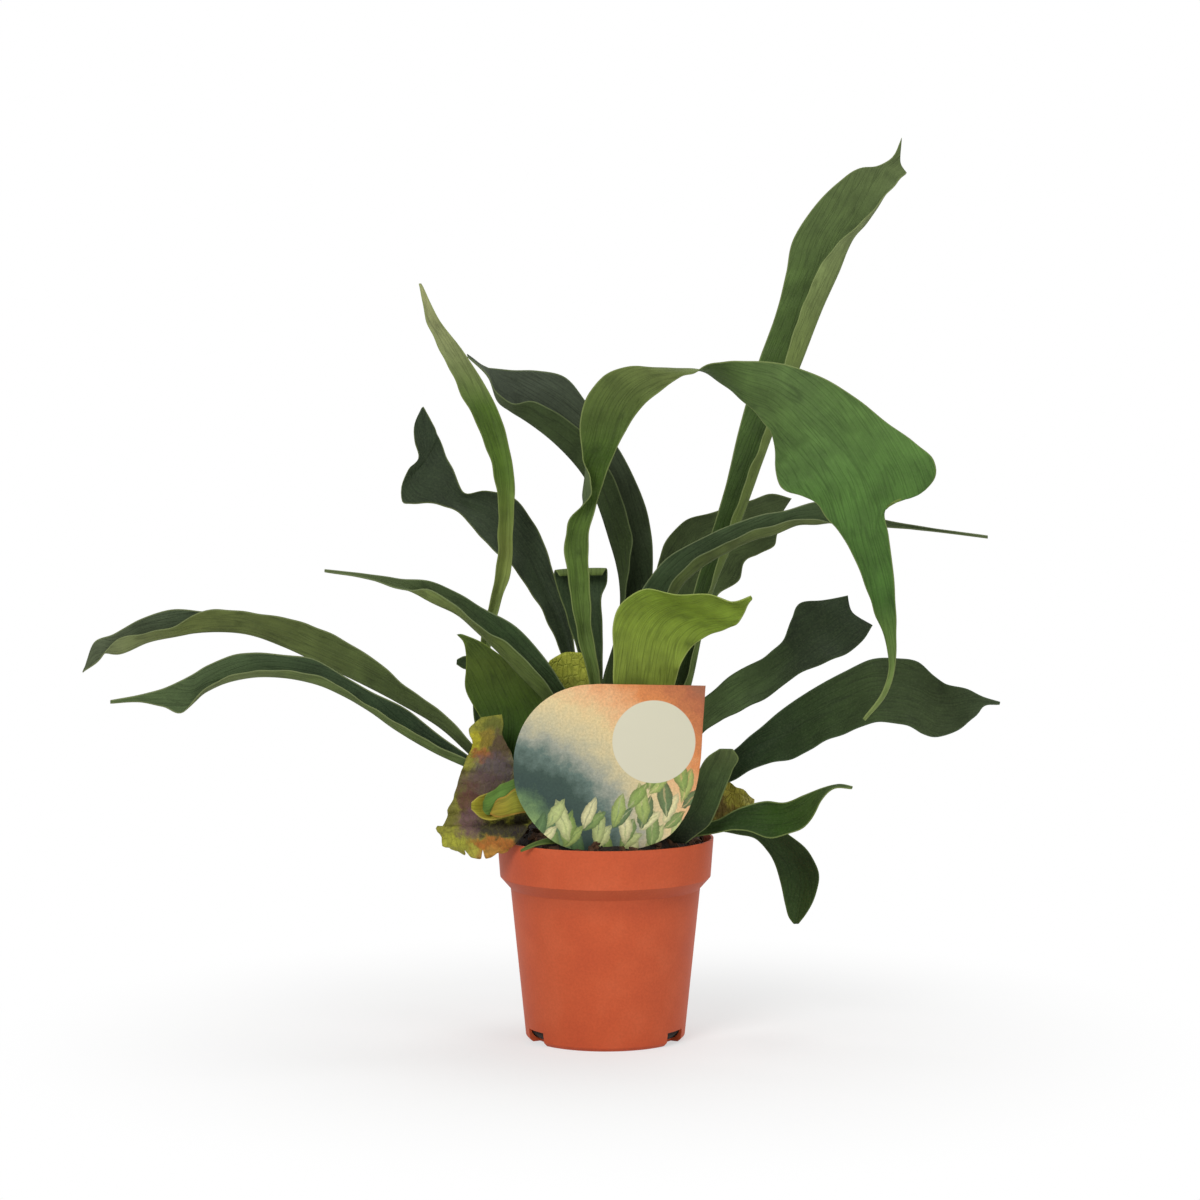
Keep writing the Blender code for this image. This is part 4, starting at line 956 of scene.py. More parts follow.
# Ground, veins and their strength, then each stain, or patch of painted shade: its centre, half
# sizes and colour.
SHIELD_LOOKS = {
    "shield_centre": ("#A8AC40", "#7E8A2E", 0.45, (
        (-22.0, 193.0, 30.0, 7.0, "#8C8E38"),)),
    "shield_left": ("#86842E", "#5E5A26", 0.22, (
        (-80.0, 146.0, 5.0, 12.0, "#5C5628"), (-85.0, 128.0, 4.0, 12.0, "#6E6A2C"),
        (-84.0, 112.0, 8.0, 7.0, "#9A9A34"), (-60.5, 177.0, 9.0, 5.5, "#585C1E"),
        (-71.0, 169.0, 6.0, 5.5, "#A09820"), (-64.0, 170.0, 3.5, 6.0, "#7C6A22"),
        (-66.0, 161.5, 8.0, 4.0, "#94582A"), (-56.5, 166.0, 6.0, 9.0, "#4C382C"),
        (-60.0, 153.0, 13.0, 10.0, "#55484F"), (-67.0, 145.0, 12.0, 9.0, "#5A4644"),
        (-74.0, 136.0, 6.5, 11.0, "#5A3830"), (-74.0, 124.0, 8.0, 9.0, "#64484C"),
        (-60.0, 113.0, 14.0, 5.0, "#A05E26"), (-59.0, 106.5, 12.0, 5.0, "#AE7C36"),
        # The last two, near black, are painted shade in the shield's dark hollow beside the label,
        # not stains.
        (-72.0, 105.0, 5.0, 6.0, "#A8A23C"), (-58.0, 121.5, 15.0, 5.0, "#1C1216"),
        (-46.0, 121.0, 5.5, 12.0, "#1E1414"))),
    "shield_right": ("#9A9236", "#6A5C24", 0.4, (
        (62.0, 128.0, 7.0, 9.0, "#5E4A22"), (72.0, 124.0, 5.0, 5.0, "#7A6628"),
        (80.0, 131.5, 5.0, 4.0, "#BDB662"))),
}


def papery_tissue(name, ground, vein_colour, vein_strength, stains_and_shades):
    """Shield frond tissue: a ground colour, stains and painted shade with wandering edges, and
    netted veins.
    """
    made, tree, output = new_material(name)
    place = add_node(tree, "ShaderNodeTexCoord")
    point = add_node(tree, "ShaderNodeVectorMath", {"operation": "SCALE"},
                     {0: place.outputs["Object"], "Scale": 1.0 / MM})
    drift = add_node(tree, "ShaderNodeTexNoise", (),
                     {"Vector": point.outputs[0], "Scale": 1.0 / PAINT_CELL, "Detail": 4.0,
                      "Roughness": 0.65})
    drift = add_node(tree, "ShaderNodeVectorMath", {"operation": "SUBTRACT"},
                     {0: drift.outputs["Color"], 1: (0.5, 0.5, 0.5)})
    drift = add_node(tree, "ShaderNodeVectorMath", {"operation": "MULTIPLY_ADD"},
                     {0: drift.outputs[0], 1: (PAINT_WANDER * 2.0,) * 3, 2: point.outputs[0]})
    colour = linear(ground)
    for x, z, half_width, half_height, stain_and_shade in stains_and_shades:
        local = add_node(tree, "ShaderNodeVectorMath", {"operation": "SUBTRACT"},
                         {0: drift.outputs[0], 1: (x, 0.0, z)})
        local = add_node(tree, "ShaderNodeVectorMath", {"operation": "MULTIPLY"},
                         {0: local.outputs[0], 1: (1.0 / half_width, 0.0, 1.0 / half_height)})
        reach = add_node(tree, "ShaderNodeVectorMath", {"operation": "LENGTH"},
                         {0: local.outputs[0]})
        inside = add_node(tree, "ShaderNodeMapRange", {"interpolation_type": "SMOOTHSTEP"},
                          {"Value": reach.outputs["Value"], "From Min": 0.55, "From Max": 1.25,
                           "To Min": 0.92, "To Max": 0.0})
        colour = add_node(tree, "ShaderNodeMix", {"data_type": "RGBA"},
                          {0: inside.outputs["Result"], 6: colour, 7: linear(stain_and_shade)}).outputs[2]
    mottle = add_node(tree, "ShaderNodeTexNoise", (),
                      {"Vector": point.outputs[0], "Scale": 1.0 / PAPER_MOTTLE, "Detail": 4.0,
                       "Roughness": 0.7})
    mottled = add_node(tree, "ShaderNodeMapRange", (),
                       {"Value": mottle.outputs["Fac"], "From Min": 0.3, "From Max": 0.7,
                        "To Min": 0.76, "To Max": 1.26})
    colour = add_node(tree, "ShaderNodeVectorMath", {"operation": "SCALE"},
                      {0: colour, "Scale": mottled.outputs["Result"]}).outputs[0]
    cells = add_node(tree, "ShaderNodeVectorMath", {"operation": "MULTIPLY"},
                     {0: point.outputs[0], 1: (1.0 / NET_CELL, 1.0 / NET_CELL,
                                               NET_STRETCH / NET_CELL)})
    net = add_node(tree, "ShaderNodeTexVoronoi", {"feature": "DISTANCE_TO_EDGE"},
                   {"Vector": cells.outputs[0], "Scale": 1.0})
    net = add_node(tree, "ShaderNodeMapRange", {"interpolation_type": "SMOOTHSTEP"},
                   {"Value": net.outputs["Distance"], "From Max": 0.13, "To Min": vein_strength,
                    "To Max": 0.0})
    colour = add_node(tree, "ShaderNodeMix", {"data_type": "RGBA"},
                      {0: net.outputs["Result"], 6: colour, 7: linear(vein_colour)}).outputs[2]
    relief = add_node(tree, "ShaderNodeMath", {"operation": "MULTIPLY_ADD"},
                      {0: net.outputs["Result"], 1: -1.2, 2: mottle.outputs["Fac"]})
    relief = add_node(tree, "ShaderNodeBump", (),
                      {"Strength": 0.7, "Distance": 0.0009, "Height": relief.outputs[0]})
    shader = add_node(tree, "ShaderNodeBsdfPrincipled", (),
                      {"Base Color": colour, "Roughness": 0.62, "IOR": 1.42,
                       "Specular IOR Level": 0.3, "Normal": relief.outputs["Normal"]})
    tree.links.new(shader.outputs[0], output.inputs["Surface"])
    return made


# %% Make the shield fronds
for number, (name, drawn) in enumerate(SHIELD_FRONDS.items()):
    grid = surface(*drawn, rooted=0.0, columns=SHIELD_COLUMNS)
    grid = ripple(grid, WAVE_OF_SHIELD[name], SHIELD_WAVES, SHIELD_SEED + number)
    if name == "shield_left":
        grid = torn(grid, TEARS)
    piece = blade(name + "_blade", grid, SHIELD_THICKNESS)
    finish_piece(piece, papery_tissue("papery_leaf_" + name, *SHIELD_LOOKS[name]),
                 "shield_frond", name)
    print(name, len(piece.data.vertices), "points")

# %% [markdown]
# ## The curled young frond
#
# The newest frond is still rolled up. Seen from the front it is a yellow lip, with a bright green
# tongue inside it and a fold that lies over the tongue. The lip was made with the straps; the
# tongue and the fold are two more blades in front of it.

# %% Tongue and fold
WAVE_OF_BUD = 1.4
BUD_LEAVES = {                 # colours of the side that shows, its margin, and its stations
    "bud_tongue": (("#46602A", "#4E6C2C", "#567630"), "#66803A", (
        (-44, 146, -44, 132, -41.5, 0, -2),
        (-54, 142.8, -54, 128, -42, 0, -3),
        (-60, 139.7, -60, 125.5, -42.5, 0, -3.5),
        (-65, 135.5, -64.5, 123.8, -42.5, 0, -3),
        (-67.8, 131.2, -67.8, 127, -42, 0, -1),
    )),
    "bud_fold": (("#6A6A24", "#7C7C28", "#8A7A2A"), "#A07030", (
        (-44, 139, -44, 125.5, -45, 0, -1.5),
        (-51, 138.4, -51, 124.4, -46, 0, -1.5),
        (-55, 135, -56, 123.2, -46.5, 0, -1.5),
        (-58.5, 133.6, -60.5, 123.2, -46.5, 0, -1.5),
        (-61.5, 130, -64, 124.6, -46, 0, 0),
    )),
}
for number, (name, (greens, margin, stations)) in enumerate(BUD_LEAVES.items()):
    grid = ripple(surface(0.0, 0.0, stations), WAVE_OF_BUD, SHIELD_WAVES, BUD_SEED + number)
    piece = blade(name, grid, SHIELD_THICKNESS)
    finish = frond_tissue("young_leaf_" + name, greens, greens, margin, 0.8, 0.04, 3.0 + number)
    finish_piece(piece, finish, "young_frond")
    print(name, len(piece.data.vertices), "points")

# %% [markdown]
# ## The nursery pot
#
# Growers' pots are injection moulded in thin polypropylene: a wide band under the rim stiffens
# it and stops stacked pots from jamming, and slots at the foot let water out. The shape is a
# profile turned about its axis, so a Screw modifier makes it, and Booleans cut the slots.

# %% Turned shapes
TURN_STEPS = 168
ARC_STEPS = 5


def filleted(corners):
    """A profile of (radius, height, fillet): each corner is rounded by an arc of its fillet."""
    out = []
    for i, (r, z, fillet) in enumerate(corners):
        here = np.array((r, z))
        if fillet == 0.0:
            out.append(here)
            continue
        back = unit(np.array(corners[i - 1][:2]) - here)
        ahead = unit(np.array(corners[i + 1][:2]) - here)
        half = math.acos(float(np.clip(back @ ahead, -1.0, 1.0))) / 2.0
        start, end = here + back * fillet / math.tan(half), here + ahead * fillet / math.tan(half)
        centre = here + unit(back + ahead) * fillet / math.sin(half)
        for t in np.linspace(0.0, 1.0, ARC_STEPS):
            out.append(centre + unit(start * (1 - t) + end * t - centre) * fillet)
    return out


def plain_mesh(worker):
    """The evaluated mesh of a working object, which is then removed."""
    bpy.context.view_layer.update()
    evaluated = worker.evaluated_get(bpy.context.evaluated_depsgraph_get())
    mesh = bpy.data.meshes.new_from_object(evaluated)
    bpy.data.objects.remove(worker)
    return mesh


def turned(name, corners):
    """A working object: the profile, down its outer side, turned about Z."""
    profile = filleted(corners)
    mesh = bpy.data.meshes.new(name)
    mesh.from_pydata([(r * MM, 0.0, z * MM) for r, z in profile],
                     [(i, i + 1) for i in range(len(profile) - 1)], [])
    made = in_scene(name, mesh)
    screw = made.modifiers.new("turn", "SCREW")
    screw.axis = "Z"
    screw.steps = TURN_STEPS
    screw.render_steps = TURN_STEPS
    screw.use_merge_vertices = True
    screw.merge_threshold = 0.00002
    return made


def place_piece(name, mesh, crease=40.0):
    """A piece from a mesh that is already in place."""
    mesh.name = name
    mesh.shade_smooth()
    mesh.set_sharp_from_angle(angle=math.radians(crease))
    return in_scene(name, mesh)

# %% Pot shape
POT_CORNERS = (                # radius, height and fillet in millimetres
    (0.0, 1.8, 0.0), (39.8, 1.8, 2.0), (42.8, 4.8, 1.0), (51.2, 84.7, 1.5), (57.0, 91.2, 1.0),
    (58.6, 112.0, 0.35), (60.0, 112.0, 0.35), (58.4, 90.5, 0.8), (52.6, 84.0, 1.2),
    (44.2, 2.0, 1.2), (42.2, 0.0, 0.8), (0.0, 0.0, 0.0),
)
SLOTS = 3
SLOT_SIZE = (16.0, 7.5)        # width and height
SLOT_INNER_RADIUS = 37.0


def box_object(name, low, high, turn):
    """A working box between two corners in millimetres, turned about Z."""
    mesh = bpy.data.meshes.new(name)
    body = bmesh.new()
    bmesh.ops.create_cube(body, size=1.0)
    for vertex in body.verts:
        x, y, z = [l + (c + 0.5) * (h - l) for c, l, h in zip(vertex.co, low, high)]
        vertex.co = ((x * math.cos(turn) - y * math.sin(turn)) * MM,
                     (x * math.sin(turn) + y * math.cos(turn)) * MM, z * MM)
    body.to_mesh(mesh)
    body.free()
    return in_scene(name, mesh)


worker = turned("pot_work", POT_CORNERS)
cutters = []
for i in range(SLOTS):
    width, height = SLOT_SIZE
    turn = math.radians(90.0) + i * math.tau / SLOTS
    cutter = box_object(f"slot_{i}", (SLOT_INNER_RADIUS, -width / 2.0, -height),
                        (60.0, width / 2.0, height), turn)
    boolean = worker.modifiers.new("slot", "BOOLEAN")
    boolean.operation = "DIFFERENCE"
    boolean.object = cutter
    cutters.append(cutter)
pot_mesh = plain_mesh(worker)
for cutter in cutters:
    bpy.data.objects.remove(cutter)
pot = place_piece("pot_shell", pot_mesh)
print("pot:", len(pot_mesh.polygons), "faces")

# %% Pot material: moulded polypropylene
POT_CLOUD = 22.0               # millimetres, soft patches left by the flow in the mould
POT_GRIT = 1.2                 # millimetres, the fine texture of the mould
BAND_SHADE = (70.0, 86.0, 90.5)    # heights: the shade starts, is full, and ends at the band

moulded, tree, output = new_material("moulded_terracotta_polypropylene")
place = add_node(tree, "ShaderNodeTexCoord")
cloud = add_node(tree, "ShaderNodeTexNoise", (),
                 {"Vector": place.outputs["Object"], "Scale": 1.0 / (POT_CLOUD * MM),
                  "Detail": 4.0})
speck = add_node(tree, "ShaderNodeTexNoise", (),
                 {"Vector": place.outputs["Object"], "Scale": 1.0 / (POT_GRIT * MM),
                  "Detail": 3.0})
base = add_node(tree, "ShaderNodeValToRGB",
                {"stops": [(0.30, linear("#BB5230")), (0.5, linear("#C05632")),
                           (0.70, linear("#C55C38"))]},
                {"Fac": cloud.outputs["Fac"]})
# Painted shade: the side just under the overhanging band is darkened towards #8A3A24, where the
# band's shadow falls.
height = add_node(tree, "ShaderNodeSeparateXYZ", (), {0: place.outputs["Object"]})
under_band = add_node(tree, "ShaderNodeMapRange", {"interpolation_type": "SMOOTHSTEP"},
                      {"Value": height.outputs["Z"], "From Min": BAND_SHADE[0] * MM,
                       "From Max": BAND_SHADE[1] * MM, "To Max": 0.35})
above_band = add_node(tree, "ShaderNodeMath", {"operation": "LESS_THAN"},
                      {0: height.outputs["Z"], 1: BAND_SHADE[2] * MM})
stain_and_shade = add_node(tree, "ShaderNodeMath", {"operation": "MULTIPLY"},
                 {0: under_band.outputs["Result"], 1: above_band.outputs[0]})
stain_and_shade = add_node(tree, "ShaderNodeMix", {"data_type": "RGBA"},
                 {0: stain_and_shade.outputs[0], 6: base.outputs["Color"], 7: linear("#8A3A24")})
grit = add_node(tree, "ShaderNodeMapRange", (),
                {"Value": speck.outputs["Fac"], "From Min": 0.3, "From Max": 0.7,
                 "To Min": 0.94, "To Max": 1.06})
shade = add_node(tree, "ShaderNodeVectorMath", {"operation": "SCALE"},
                 {0: stain_and_shade.outputs[2], "Scale": grit.outputs["Result"]})
relief = add_node(tree, "ShaderNodeBump", (),
                  {"Strength": 0.25, "Distance": 0.0002, "Height": speck.outputs["Fac"]})
rough = add_node(tree, "ShaderNodeMapRange", (),
                 {"Value": cloud.outputs["Fac"], "To Min": 0.48, "To Max": 0.62})
shader = add_node(tree, "ShaderNodeBsdfPrincipled", (),
                  {"Base Color": shade.outputs[0], "Roughness": rough.outputs["Result"],
                   "IOR": 1.49, "Specular IOR Level": 0.2, "Normal": relief.outputs["Normal"]})
tree.links.new(shader.outputs[0], output.inputs["Surface"])
finish_piece(pot, moulded, "pot_plastic", "nursery_pot")

# %% [markdown]
# ## The potting mix
#
# Ferns that live on trees are potted in bark and peat. The body of the mix is turned to fit the
# pot and its mound is roughened. Chips of bark and crumbs of peat are strewn over the mound by
# Geometry Nodes, which place hundreds of small copies on points of a surface.

# %% Body of the mix
MIX_CORNERS = (                # radius, height and fillet in millimetres
    (0.0, 123.0, 0.0), (20.0, 122.4, 20.0), (38.0, 119.4, 10.0), (48.0, 114.9, 6.0),
    (53.5, 109.9, 4.0), (56.0, 104.4, 0.6), (56.6, 91.6, 1.0), (50.8, 85.1, 1.0),
    (42.4, 5.2, 1.0), (39.4, 2.2, 0.5), (0.0, 2.2, 0.0),
)
MIX_LUMPS = ((7.0, 1.3), (3.0, 0.7))   # wavelength and height of the lumps
MIX_RISE_FROM = 99.0           # lumps only above this height

mix_mesh = plain_mesh(turned("mix_work", MIX_CORNERS))
rough_mix = bmesh.new()
rough_mix.from_mesh(mix_mesh)
top_edges = [e for e in rough_mix.edges if min(v.co.z for v in e.verts) > MIX_RISE_FROM * MM
             and e.calc_length() > 2.2 * MM]
bmesh.ops.subdivide_edges(rough_mix, edges=top_edges, cuts=6, use_grid_fill=True)
for vertex in rough_mix.verts:
    if vertex.co.z > MIX_RISE_FROM * MM:
        for length, height in MIX_LUMPS:
            vertex.co.z += noise.noise(vertex.co / (length * MM)) * height * MM
rough_mix.to_mesh(mix_mesh)
rough_mix.free()
mix = place_piece("potting_mix_mound", mix_mesh, 180.0)
print("mix:", len(mix_mesh.polygons), "faces")


def crumbly(name, dark, light, cell):
    """Moist organic crumbs: two browns in patches of a cell size, with deep relief."""
    made, tree, output = new_material(name)
    place = add_node(tree, "ShaderNodeTexCoord")
    patch = add_node(tree, "ShaderNodeTexNoise", (),
                     {"Vector": place.outputs["Object"], "Scale": 1.0 / (cell * MM),
                      "Detail": 5.0, "Roughness": 0.7})
    base = add_node(tree, "ShaderNodeValToRGB",
                    {"stops": [(0.35, linear(dark)), (0.65, linear(light))]},
                    {"Fac": patch.outputs["Fac"]})
    relief = add_node(tree, "ShaderNodeBump", (),
                      {"Strength": 0.8, "Distance": 0.0008, "Height": patch.outputs["Fac"]})
    shader = add_node(tree, "ShaderNodeBsdfPrincipled", (),
                      {"Base Color": base.outputs["Color"], "Roughness": 0.85,
                       "Specular IOR Level": 0.3, "Normal": relief.outputs["Normal"]})
    tree.links.new(shader.outputs[0], output.inputs["Surface"])
    return made


peat = crumbly("moist_peat", "#15100C", "#2E231A", 2.0)
finish_piece(mix, peat, "potting_mix", "potting_mix")

# %% [markdown]
# ## Strewn pieces
#
# One tree serves the bark chips, the peat crumbs and the rhizome's scales: it spreads points
# over a surface, puts a small body on each, turned along the surface and then at random, and
# makes the copies real, so that they export as a plain mesh.

# %% A tree that strews copies over a surface
def strewing_tree(name, cone):
    """Copies of a small body over a surface: a lumpy ball, or a pointed scale if cone is set."""
    tree = bpy.data.node_groups.new(name, "GeometryNodeTree")
    for label, kind in (("Geometry", "Geometry"), ("Density", "Float"), ("Smallest", "Float"),
                        ("Largest", "Float"), ("Lowest", "Float"), ("Lean", "Float"),
                        ("Seed", "Int"), ("Material", "Material")):
        tree.interface.new_socket(label, in_out="INPUT", socket_type="NodeSocket" + kind)
    tree.interface.new_socket("Geometry", in_out="OUTPUT", socket_type="NodeSocketGeometry")
    given = add_node(tree, "NodeGroupInput").outputs
    position = add_node(tree, "GeometryNodeInputPosition")
    height = add_node(tree, "ShaderNodeSeparateXYZ", (), {0: position.outputs[0]})
    high = add_node(tree, "FunctionNodeCompare", {"operation": "GREATER_THAN"},
                    {0: height.outputs["Z"], 1: given["Lowest"]})
    points = add_node(tree, "GeometryNodeDistributePointsOnFaces", (),
                      {"Mesh": given["Geometry"], "Selection": high.outputs[0],
                       "Density": given["Density"], "Seed": given["Seed"]})
    if cone:
        body = add_node(tree, "GeometryNodeMeshCone", (),
                        {"Vertices": 5, "Radius Top": 0.02, "Radius Bottom": 0.16, "Depth": 1.0})
        body = add_node(tree, "GeometryNodeTransform", (),
                        {"Geometry": body.outputs[0], "Scale": (1.0, 0.35, 1.0)})
    else:
        body = add_node(tree, "GeometryNodeMeshIcoSphere", (), {"Radius": 0.5, "Subdivisions": 2})
        jitter = add_node(tree, "ShaderNodeTexNoise", (), {"Scale": 1.7, "Detail": 1.0})
        jitter = add_node(tree, "ShaderNodeVectorMath", {"operation": "SUBTRACT"},
                          {0: jitter.outputs["Color"], 1: (0.5, 0.5, 0.5)})
        body = add_node(tree, "GeometryNodeSetPosition", (),
                        {"Geometry": body.outputs[0], "Offset": jitter.outputs[0]})
        body = add_node(tree, "GeometryNodeTransform", (),
                        {"Geometry": body.outputs[0], "Scale": (1.0, 0.62, 0.36)})
    turn = add_node(tree, "FunctionNodeRandomValue", {"data_type": "FLOAT_VECTOR"},
                    {1: (0.5, 0.5, math.pi), 0: (-0.5, -0.5, -math.pi), "Seed": given["Seed"]})
    lean = add_node(tree, "ShaderNodeVectorMath", {"operation": "SCALE"},
                    {0: (1.0, 0.0, 0.0), "Scale": given["Lean"]})
    turn = add_node(tree, "ShaderNodeVectorMath", {"operation": "ADD"},
                    {0: turn.outputs[0], 1: lean.outputs[0]})
    turned_by = add_node(tree, "FunctionNodeRotateRotation", {"rotation_space": "LOCAL"},
                         {0: points.outputs["Rotation"], 1: turn.outputs[0]})
    size = add_node(tree, "FunctionNodeRandomValue", {"data_type": "FLOAT"},
                    {2: given["Smallest"], 3: given["Largest"], "Seed": given["Seed"]})
    copies = add_node(tree, "GeometryNodeInstanceOnPoints", (),
                      {"Points": points.outputs["Points"], "Instance": body.outputs[0],
                       "Rotation": turned_by.outputs[0], "Scale": size.outputs[1]})
    real = add_node(tree, "GeometryNodeRealizeInstances", (), {0: copies.outputs[0]})
    finished = add_node(tree, "GeometryNodeSetMaterial", (),
                        {"Geometry": real.outputs[0], "Material": given["Material"]})
    add_node(tree, "NodeGroupOutput", (), {0: finished.outputs[0]})
    return tree


def strew(name, ground, tree, density, sizes, lowest, lean, seed, finish):
    """Copies over a piece's surface, as a plain piece. Density is per square metre."""
    worker = in_scene(name + "_work", ground.data)
    nodes = worker.modifiers.new("strew", "NODES")
    nodes.node_group = tree
    values = {"Density": density, "Smallest": sizes[0] * MM, "Largest": sizes[1] * MM,
              "Lowest": lowest * MM, "Lean": lean, "Seed": seed, "Material": finish}
    for item in tree.interface.items_tree:
        if item.in_out == "INPUT" and item.name in values:
            nodes[item.identifier] = values[item.name]
    made = place_piece(name, plain_mesh(worker), 35.0)
    print(name, len(made.data.polygons), "faces")
    return made


lumps = strewing_tree("strewn_lumps", False)
scales = strewing_tree("strewn_scales", True)
bark = crumbly("shredded_pine_bark", "#2A1C12", "#5A3D26", 3.0)
chips = strew("bark_chips", mix, lumps, 26000.0, (3.5, 8.5), MIX_RISE_FROM, 0.0, 3, bark)
finish_piece(chips, bark, "potting_mix")
crumbs = strew("peat_crumbs", mix, lumps, 90000.0, (1.0, 2.6), MIX_RISE_FROM, 0.0, 8, peat)
finish_piece(crumbs, peat, "potting_mix")

# %% [markdown]
# ## Rhizomes
#
# The rhizome is a short creeping stem as thick as a finger, hidden under brown papery scales.
# The scales are strewn over it by the same tree, as flat pointed cones that lie back.

# %% Rhizomes and their scales
RHIZOMES = {                   # centre, half lengths and lean about Y in degrees
    "rhizome_centre": ((10.0, 2.0, 131.2), (23.0, 13.0, 6.6), 0.0),
    "rhizome_left": ((-51.0, -2.0, 137.5), (20.5, 5.5, 5.5), -46.0),
    "rhizome_right": ((43.5, -8.0, 130.5), (12.5, 5.0, 5.0), -42.0),
    "crown_bud": ((-66.0, -26.5, 148.5), (3.5, 3.5, 5.5), 0.0),
}
SCALE_DENSITY = 420000.0
SCALE_LENGTHS = (1.8, 4.2)
SCALE_SEED = 20
STEM_LUMPS = 0.08              # share of the radius that the stem's lumps take away

stem = crumbly("fleshy_rhizome", "#3A2416", "#5C3D24", 4.0)
scale_skin = crumbly("dry_papery_scales", "#5A3A20", "#94683C", 2.5)
for number, (name, (centre, half_lengths, lean)) in enumerate(RHIZOMES.items()):
    ball = bmesh.new()
    bmesh.ops.create_icosphere(ball, subdivisions=5, radius=1.0)
    angle = math.radians(lean)
    for vertex in ball.verts:
        lump = 1.0 - STEM_LUMPS + STEM_LUMPS * noise.noise(vertex.co * 2.6)
        x, y, z = [c * half * lump for c, half in zip(vertex.co, half_lengths)]
        vertex.co = ((centre[0] + x * math.cos(angle) + z * math.sin(angle)) * MM,
                     (centre[1] + y) * MM,
                     (centre[2] - x * math.sin(angle) + z * math.cos(angle)) * MM)
    mesh = bpy.data.meshes.new(name)
    ball.to_mesh(mesh)
    ball.free()
    body = place_piece(name + "_stem", mesh, 180.0)
    finish_piece(body, stem, "rhizome", name)
    if name == "crown_bud":    # a bare growing tip
        continue
    coat = strew(name + "_scales", body, scales, SCALE_DENSITY, SCALE_LENGTHS, 0.0, 1.0,
                 SCALE_SEED + number, scale_skin)
    finish_piece(coat, scale_skin, "rhizome")

# %% [markdown]
# ## The plant label
#
# A label is a stiff printed card of plastic, cut with one square corner and a stake that stands
# in the mix. It is a flat outline with a thickness. Its print is a made-up one: soft rings of
# watercolour around the lower left, with rows of plain oval leaves, and a bare cream disc.

# %% Label shape
LABEL_Y = -49.6
LABEL_THICKNESS = 0.6
LABEL_EDGE = 0.08              # roundness of the cut edges
LABEL_CORNER = (53.8, 200.3)
LABEL_ROUND = (                # the rest of the outline as (x, z), clockwise from the corner
    (52.4, 180.0), (50.9, 157.5), (48.5, 144.0), (43.6, 131.0), (33.9, 118.8), (20.0, 112.8),
    (0.0, 110.8), (-14.0, 111.0), (-24.5, 114.0), (-34.0, 120.6), (-42.0, 130.3), (-47.7, 141.5),
    (-49.6, 155.0), (-48.5, 167.5), (-43.8, 180.0), (-36.0, 189.8), (-26.0, 196.6),
    (-15.0, 200.2), (-4.0, 201.2))
STAKE_X = -4.0
STAKE_HALF_WIDTHS = (8.0, 2.0)     # at the shoulder and at the tip
STAKE_HEIGHTS = (90.0, 76.0)       # of the shoulder and of the tip

round_part = [tuple(row[0]) for row in smooth(np.array(LABEL_ROUND)[:, None], ROW_SPACING)]
wide, narrow = STAKE_HALF_WIDTHS
meets = [i for i, (x, z) in enumerate(round_part) if z < 112.0 and abs(x - STAKE_X) < wide]
foot = min(round_part[i][1] for i in meets)
shoulder, tip = STAKE_HEIGHTS
outline = [LABEL_CORNER, *round_part[:meets[0]],
           (STAKE_X + wide, foot), (STAKE_X + wide, shoulder), (STAKE_X + narrow, tip),
           (STAKE_X - narrow, tip), (STAKE_X - wide, shoulder), (STAKE_X - wide, foot),
           *round_part[meets[-1] + 1:]]
curve = bpy.data.curves.new("label_work", "CURVE")
curve.dimensions = "2D"
curve.fill_mode = "BOTH"
curve.extrude = (LABEL_THICKNESS / 2.0 - LABEL_EDGE) * MM
curve.bevel_depth = LABEL_EDGE * MM
curve.offset = -LABEL_EDGE * MM
curve.bevel_resolution = 1
spline = curve.splines.new("POLY")
spline.points.add(len(outline) - 1)
for point, (x, z) in zip(spline.points, outline):
    point.co = (x * MM, z * MM, 0.0, 1.0)
spline.use_cyclic_u = True
worker = in_scene("label_work", curve)
label_mesh = plain_mesh(worker)
for vertex in label_mesh.vertices:
    x, z, y = vertex.co
    vertex.co = (x, LABEL_Y * MM - y, z)
welded = bmesh.new()
welded.from_mesh(label_mesh)
bmesh.ops.remove_doubles(welded, verts=welded.verts, dist=0.00001)
bmesh.ops.recalc_face_normals(welded, faces=welded.faces)
welded.to_mesh(label_mesh)
welded.free()
label = place_piece("label_card", label_mesh, 50.0)
print("label:", len(label_mesh.polygons), "faces")

# %% Label material: printed polypropylene card
RING_CENTRE = (-62.0, 0.0, 96.0)   # millimetres; the washes are rings round this point
RINGS = (                      # distance from the centre in millimetres, and colour
    (18.0, "#6F8A50"), (34.0, "#86A262"), (46.0, "#55704C"), (54.0, "#2C403A"), (64.0, "#34483F"),
    (72.0, "#5C6F66"), (80.0, "#96998A"), (90.0, "#C2B791"), (102.0, "#D6C08E"),
    (116.0, "#DDA877"), (130.0, "#CF8148"), (146.0, "#A9603C"), (160.0, "#8A5A42"))
WASH_WANDER = 26.0             # how far the edge of a wash wanders
PRINT_REACH = 160.0
LEAF_GREENS = ("#A9B474", "#71894A", "#CFCB98", "#4F6B40", "#97A85C", "#7F964C", "#BFC488")
LEAF_ROWS = (                  # radius of a row round the centre, first and last angle, leaves
    (117.0, 9.0, 31.0, 6), (104.0, 8.0, 35.0, 7), (91.0, 9.0, 31.0, 7), (78.0, 10.0, 30.0, 6),
    (64.0, 13.0, 36.0, 5), (50.0, 18.0, 48.0, 5), (38.0, 24.0, 50.0, 3))
LEAF_TURN = 137.5              # the golden angle, which spreads the directions evenly
LEAF_SPREAD = 38.0             # most that a leaf leans away from its row's radius, in degrees
LEAF_LENGTHS = (15.0, 24.0)
LEAF_WIDTH = 0.36              # share of the length
DISC = (26.0, 170.0, 22.5)     # centre and radius of the bare disc
